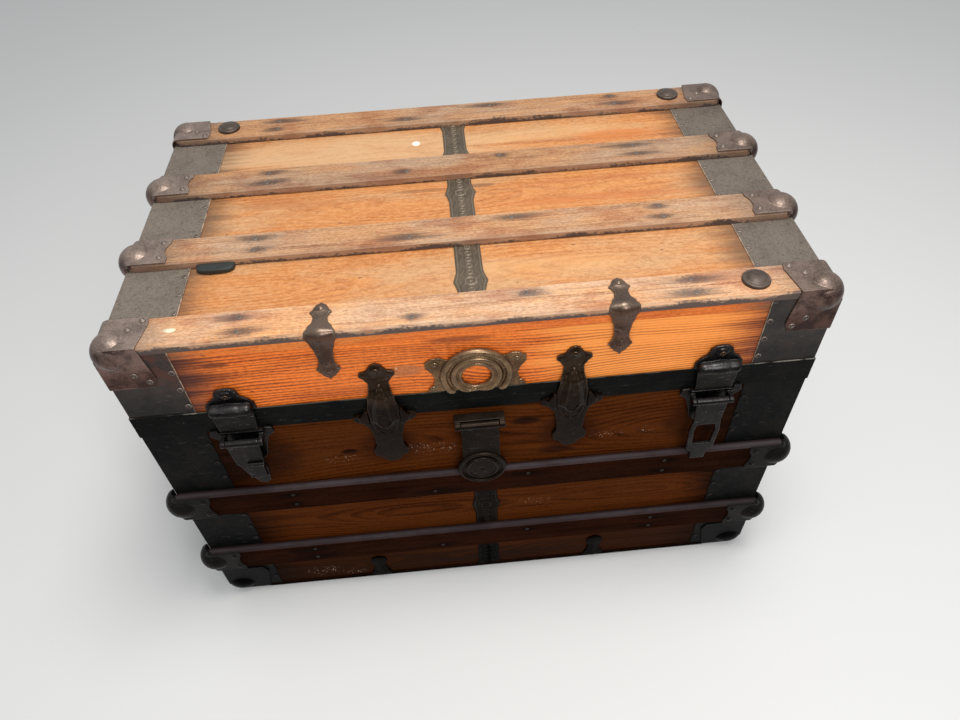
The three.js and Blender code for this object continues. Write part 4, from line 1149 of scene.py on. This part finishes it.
def add_bottom_clamps():
    """Clamps that hold the bottom slats' edges, two on the front and two on the back."""
    widths = profile([(0.0, 0.003), (0.006, 0.011), (0.014, 0.013), (0.026, 0.009), (0.040, 0.011),
                      (0.052, 0.016), (0.062, 0.016)])

    def height(s, t):
        return 0.0024 + 0.0022 * math.exp(-(s / 0.5) ** 2)

    def make(bm):
        for way in (-1, 1):
            for x in (-BOTTOM_CLAMP_X, BOTTOM_CLAMP_X):
                def put(u, t, h, x=x, way=way):
                    return (x + u, way * (-LID_FACE_Y + 0.0003 + h), BOTTOM_CLAMP_TOP - t)
                relief(bm, widths, 0.0, BOTTOM_CLAMP_LENGTH, height, put, 40, 12)
    new_piece("case_bottom_clamps", make, DARK_STRAP, "case")


# ---- locator tongues, ring mouldings ----

TONGUE_LENGTH = 0.130
# Half its width, by the distance from its top.
TONGUE_WIDTHS = profile([
    (0.000, 0.0015), (0.003, 0.0070), (0.008, 0.0098), (0.0115, 0.0125), (0.015, 0.0215), (0.020, 0.0222),
    (0.027, 0.0165), (0.034, 0.0128), (0.044, 0.0135), (0.060, 0.0172), (0.078, 0.0198), (0.098, 0.0190),
    (0.112, 0.0160), (0.122, 0.0115), (TONGUE_LENGTH, 0.0015)])
ARCH_TOP = 0.036                        # where the raised shield starts, down from the tongue's top
ARCH_FOOT = 0.112
STEP_FROM = 0.044                       # where the tongue slopes out over the bands and the socket
STEP_TO = 0.057


def tongue_height(s, t):
    """Relief of a tongue: a knob between two lobes at the top, then a raised shield with a line in it."""
    u = s * TONGUE_WIDTHS(t)
    knob = 0.0030 * math.exp(-((t - 0.010) / 0.0065) ** 2 - (u / 0.0070) ** 2)
    lobes = 0.0012 * math.exp(-((t - 0.0185) / 0.0045) ** 2 - ((abs(u) - 0.0165) / 0.0040) ** 2)
    rim = 0.0007 * math.exp(-((abs(s) - 0.88) / 0.09) ** 2)
    down = min(1.0, max(0.0, (t - ARCH_TOP) / (ARCH_FOOT - ARCH_TOP)))
    arch = 0.0165 * math.sqrt(down) * (1.0 if t < 0.10 else max(0.0, (ARCH_FOOT + 0.004 - t) / 0.016))
    inside = 1 / (1 + math.exp((abs(u) - arch) / 0.0007)) if arch > 0.0008 else 0.0
    line = 0.0009 * math.exp(-((abs(u) - arch * 0.62) / 0.0011) ** 2) * (arch > 0.004)
    swell = inside * (0.0018 + 0.0016 * (1 - (u / 0.018) ** 2))
    return 0.0022 + knob + lobes + rim + swell + line


def add_tongues():
    """The tongues' faces, in place of the plain CAD ones."""
    near = LID_FACE_Y - 0.0003
    places = []
    for side, _ in SIDES:
        node = f"lid_tongue_{side}"
        x = middle_of(node, 0)
        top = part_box(node)[1].z
        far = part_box(f"case_socket_{side}")[0].y + 0.0030
        slope = profile([(STEP_FROM, near), (STEP_TO, far)])

        def put(u, t, h, x=x, top=top, slope=slope):
            return (x + u, slope(t) - h, top - t)

        def make(bm, put=put):
            relief(bm, TONGUE_WIDTHS, 0.0, TONGUE_LENGTH, tongue_height, put, 150, 34)
        piece = new_piece(f"lid_tongue_face_{side}", make, BRASS, "lid")
        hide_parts(node)
        places.append(((x, near - 0.0046, top - 0.010), FORE))
    studs("lid_tongue_rivets", places, RIVET, BRASS, "lid")


def moulding(bm, centre, radius, tube, floor=None, around=72, facets=12):
    """Half-round ring on the front, cut off below `floor`."""
    loops = []
    for i in range(around):
        a = 2 * math.pi * i / around
        loop = []
        for j in range(facets):
            b = 2 * math.pi * j / facets
            reach = radius + tube * math.cos(b)
            loop.append(bm.verts.new((centre[0] + reach * math.cos(a), centre[1] - tube * math.sin(b),
                                      centre[2] + reach * math.sin(a))))
        loops.append(loop)
    for i in range(around):
        ahead = loops[(i + 1) % around]
        for j in range(facets):
            k = (j + 1) % facets
            bm.faces.new((loops[i][j], loops[i][k], ahead[k], ahead[j]))
    if floor is not None:
        everything = [*bm.verts, *bm.edges, *bm.faces]
        cut = bmesh.ops.bisect_plane(bm, geom=everything, plane_co=(0, 0, floor), plane_no=(0, 0, -1),
                                     clear_outer=True)
        edges = [e for e in cut["geom_cut"] if isinstance(e, bmesh.types.BMEdge)]
        bmesh.ops.holes_fill(bm, edges=edges)


RING_RADIUS = 0.045                     # of the lock ring's round plate
HASP_RADIUS = 0.034                     # of the hasp's round end
RING_MOULDINGS = (("outer", 0.0408, 0.0048), ("middle", 0.0285, 0.0044), ("inner", 0.0205, 0.0026))
RING_SCREWS = ((0.050, 0.0235), (0.0545, -0.0185))      # (x, height over the ring's middle), both sides


def add_ring_mouldings():
    low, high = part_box("lid_lock_ring")
    centre = (middle_of("lid_lock_ring", 0), low.y + 0.0028, high.z - RING_RADIUS)
    floor = low.z + 0.0003
    for name, radius, tube in RING_MOULDINGS:
        def make(bm, radius=radius, tube=tube):
            moulding(bm, centre, radius, tube, floor)
        new_piece(f"lid_lock_moulding_{name}", make, OLD_BRASS, "lid")
    places = [((sign * x, low.y + 0.0036, centre[2] + rise), FORE)
              for x, rise in RING_SCREWS for sign in (-1, 1)]
    studs("lid_lock_screws", places, RIVET, OLD_BRASS, "lid")


def add_hasp_mouldings():
    centre = (middle_of("hasp", 0), SLAT_FACE_Y - 0.0052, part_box("hasp")[0].z + HASP_RADIUS)

    def rings_on_hasp(bm):
        moulding(bm, centre, 0.0308, 0.0024)
        moulding(bm, centre, 0.0205, 0.0026)
    new_piece("hasp_mouldings", rings_on_hasp, DARK_FITTING, "hasp")


def add_latch_rivets():
    places = []
    for side, _ in SIDES:
        node = f"latch_catch_{side}"
        places.append(((middle_of(node, 0), FRONT_Y - 0.0065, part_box(node)[1].z - 0.011), FORE))
    studs("lid_latch_rivets", places, RIVET, BRASS, "lid")


LEAF = 0.002                            # thickness of a hinge leaf


def add_hinge_screws():
    lid = []
    case = []
    for side, _ in SIDES:
        low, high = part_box(f"hinge_upper_{side}")
        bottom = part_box(f"hinge_lower_{side}")[0].z
        for x in (middle_of(f"hinge_upper_{side}", 0) + dx for dx in (-0.022, 0.0, 0.022)):
            for inset in (0.010, 0.034):
                lid.append(((x, low.y + LEAF, high.z - inset), AFT))
                case.append(((x, low.y + LEAF, bottom + inset), AFT))
    studs("lid_hinge_screws", lid, RIVET, DARK_NAIL, "lid")
    studs("case_hinge_screws", case, RIVET, DARK_NAIL, "case")


# ---- buttons, pad, marks ----

BUTTONS = ((-0.347, 4), (0.350, 4), (0.336, 1))         # (x, slat)
LOST_BUTTON_X = -0.347                  # on slat 1
PAD_X = -0.317
PAD_HALF = 0.024                        # half the pad's length
PAD_WIDTH = 0.0150
TACK_AT = (-0.056, 0.160)


def add_buttons():
    places = [((x, middle_of(f"lid_slat_{i}", 1), SLAT_TOP), UP) for x, i in BUTTONS]
    studs("lid_buttons", places, BUTTON, BUTTON_IRON, "lid", 36)


def add_pad():
    """Raised half-disc pad in front of the second slat."""
    edge = LID_SLATS[1][0].y - 0.0005

    def half(t):
        return PAD_HALF * math.sqrt(max(1e-6, 1 - (t / 0.0152) ** 4))

    def height(s, t):
        return 0.0065 - 0.0012 * abs(s) ** 6

    def put(u, t, h):
        return (PAD_X + u, edge - t, TOP_Z + h)

    def make(bm):
        relief(bm, half, 0.0, PAD_WIDTH, height, put, 20, 20)
    new_piece("lid_pad", make, chipped("pad_felt", (0.014, 0.019, 0.018), (0.03, 0.034, 0.032)),
              "lid")


def add_tack():
    """White tack on a lid board."""
    white = chipped("tack_paint", (0.80, 0.77, 0.70), (0.55, 0.5, 0.42))
    studs("lid_white_tack", [((*TACK_AT, BOARD_TOP), UP)], TACK, white, "lid", 20)


def add_chip():
    """Ragged pale chip where a button is lost."""
    corners = 14

    def make(bm):
        rng = random.Random(4)
        y = middle_of("lid_slat_1", 1)
        ring = []
        for k in range(corners):
            angle = 2 * math.pi * k / corners
            reach = 0.006 * (0.75 + 0.5 * rng.random())
            ring.append((LOST_BUTTON_X + reach * 1.3 * math.cos(angle), y + reach * 0.7 * math.sin(angle)))
        low = [bm.verts.new((x, v, SLAT_TOP - 0.0002)) for x, v in ring]
        high = [bm.verts.new((x, v, SLAT_TOP + 0.0004)) for x, v in ring]
        bm.faces.new(high)
        bm.faces.new(list(reversed(low)))
        for k in range(corners):
            n = (k + 1) % corners
            bm.faces.new((low[k], low[n], high[n], high[k]))
    new_piece("lid_chip", make, chipped("chip_wood", (0.85, 0.72, 0.5), (0.6, 0.4, 0.22)),
              "lid")


# ---- lower corners and back caps ----

FOOT_REACH = 1.24                       # how much longer a lower corner's legs are than an upper one's
FOOT_RISE = 0.0005                      # of a lower corner's lowest point over the slats' underside


def add_copy(node, name, move):
    """Dark cap on the case with the mesh of a CAD node, moved by a matrix."""
    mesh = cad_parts[node].data.copy()
    mesh.transform(move)
    if move.is_negative:
        mesh.flip_normals()
    mesh.materials.clear()
    mesh.materials.append(DARK_CAP)
    obj = link(bpy.data.objects.new(name, mesh))
    cast(obj)
    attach(obj, "case")


def add_back_caps():
    """Caps on the ends of the back slats: the front ones turned round."""
    turned = Matrix.Rotation(math.pi, 4, "Z")
    for level in ("upper", "lower"):
        for side, other in (("left", "right"), ("right", "left")):
            add_copy(f"front_slat_{level}_cap_{other}", f"back_slat_{level}_cap_{side}", turned)


def add_foot_corners():
    """Ball corners at the case's foot: the lid's turned upside down, down to the floor."""
    for side, sign in SIDES:
        end = Matrix.Translation((sign * END_X, 0, 0))
        longer = end @ Matrix.Scale(FOOT_REACH, 4, (1, 0, 0)) @ end.inverted()
        for face in ("front", "back"):
            node = f"lid_corner_{face}_{side}"
            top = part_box(node)[1].z + FOOT_RISE
            flip = Matrix.Translation((0, 0, top)) @ Matrix.Scale(-1, 4, (0, 0, 1))
            add_copy(node, f"case_foot_{face}_{side}", longer @ flip)


# ---- stage ----

CAMERA_PLACE = Vector((-0.0223, -0.8529, 1.1561))
CAMERA_YAW = 0.046
CAMERA_PITCH = -0.817
CAMERA_ROLL = -0.054
CAMERA_LENS = 27.30
FLOOR_REACH = 40.0
FLOOR_DROP = 0.0005                     # keeps the floor out of the slats' underside


def add_camera():
    data = bpy.data.cameras.new("camera")
    data.sensor_width = 36
    data.lens = CAMERA_LENS
    data.clip_start = 0.02
    yaw, pitch, roll = CAMERA_YAW, CAMERA_PITCH, CAMERA_ROLL
    ahead = Vector((math.sin(yaw) * math.cos(pitch), math.cos(yaw) * math.cos(pitch), math.sin(pitch)))
    level = Vector((math.cos(yaw), -math.sin(yaw), 0))
    upright = level.cross(ahead)
    right = math.cos(roll) * level + math.sin(roll) * upright
    up = -math.sin(roll) * level + math.cos(roll) * upright
    camera = bpy.data.objects.new("camera", data)
    camera.matrix_world = Matrix((
        (right.x, up.x, -ahead.x, CAMERA_PLACE.x),
        (right.y, up.y, -ahead.y, CAMERA_PLACE.y),
        (right.z, up.z, -ahead.z, CAMERA_PLACE.z),
        (0, 0, 0, 1)))
    bpy.context.scene.camera = link(camera)


def add_floor():
    mesh = bpy.data.meshes.new("floor")
    z = FLOOR_Z - FLOOR_DROP
    corners = [(x * FLOOR_REACH, y * FLOOR_REACH, z) for x, y in ((-1, -1), (1, -1), (1, 1), (-1, 1))]
    mesh.from_pydata(corners, [], [(0, 1, 2, 3)])
    mesh.materials.append(stage_paint("floor_paint", (0.68, 0.68, 0.67)))
    link(bpy.data.objects.new("floor", mesh))


def add_lamp(name, place, target, size, power, tint=(1, 1, 1)):
    data = bpy.data.lights.new(name, "AREA")
    data.shape = "RECTANGLE"
    data.size, data.size_y = size
    data.energy = power
    data.color = tint
    lamp = link(bpy.data.objects.new(name, data))
    lamp.location = place
    lamp.rotation_euler = (Vector(target) - Vector(place)).to_track_quat("-Z", "Y").to_euler()


def add_light():
    add_lamp("key", (0.25, -0.25, 2.5), (0, -0.05, 0.4), (1.0, 0.7), 38, (1.0, 0.98, 0.95))
    add_lamp("front_high", (0.6, -1.9, 2.0), (0, -0.2, 0.45), (1.0, 0.8), 24)
    world = bpy.data.worlds.new("studio")
    world.use_nodes = True
    background = world.node_tree.nodes["Background"]
    background.inputs["Color"].default_value = (0.95, 0.97, 1.0, 1)
    background.inputs["Strength"].default_value = 0.55
    bpy.context.scene.world = world
    bpy.context.scene.view_settings.view_transform = "Standard"


add_camera()
finish_lid_boards()
finish_case_boards()
finish_end_boards()
ease_boards()
finish_skins()
finish_slats()
finish_fittings()
add_wrap_nails()
add_end_nails()
add_handle_trim()
add_slat_nails()
add_cap_rivets()
add_straps()
add_slat_clamps()
add_bottom_clamps()
add_tongues()
add_ring_mouldings()
add_hasp_mouldings()
add_latch_rivets()
add_hinge_screws()
add_foot_corners()
add_buttons()
add_pad()
add_tack()
add_chip()
add_back_caps()
add_floor()
add_light()
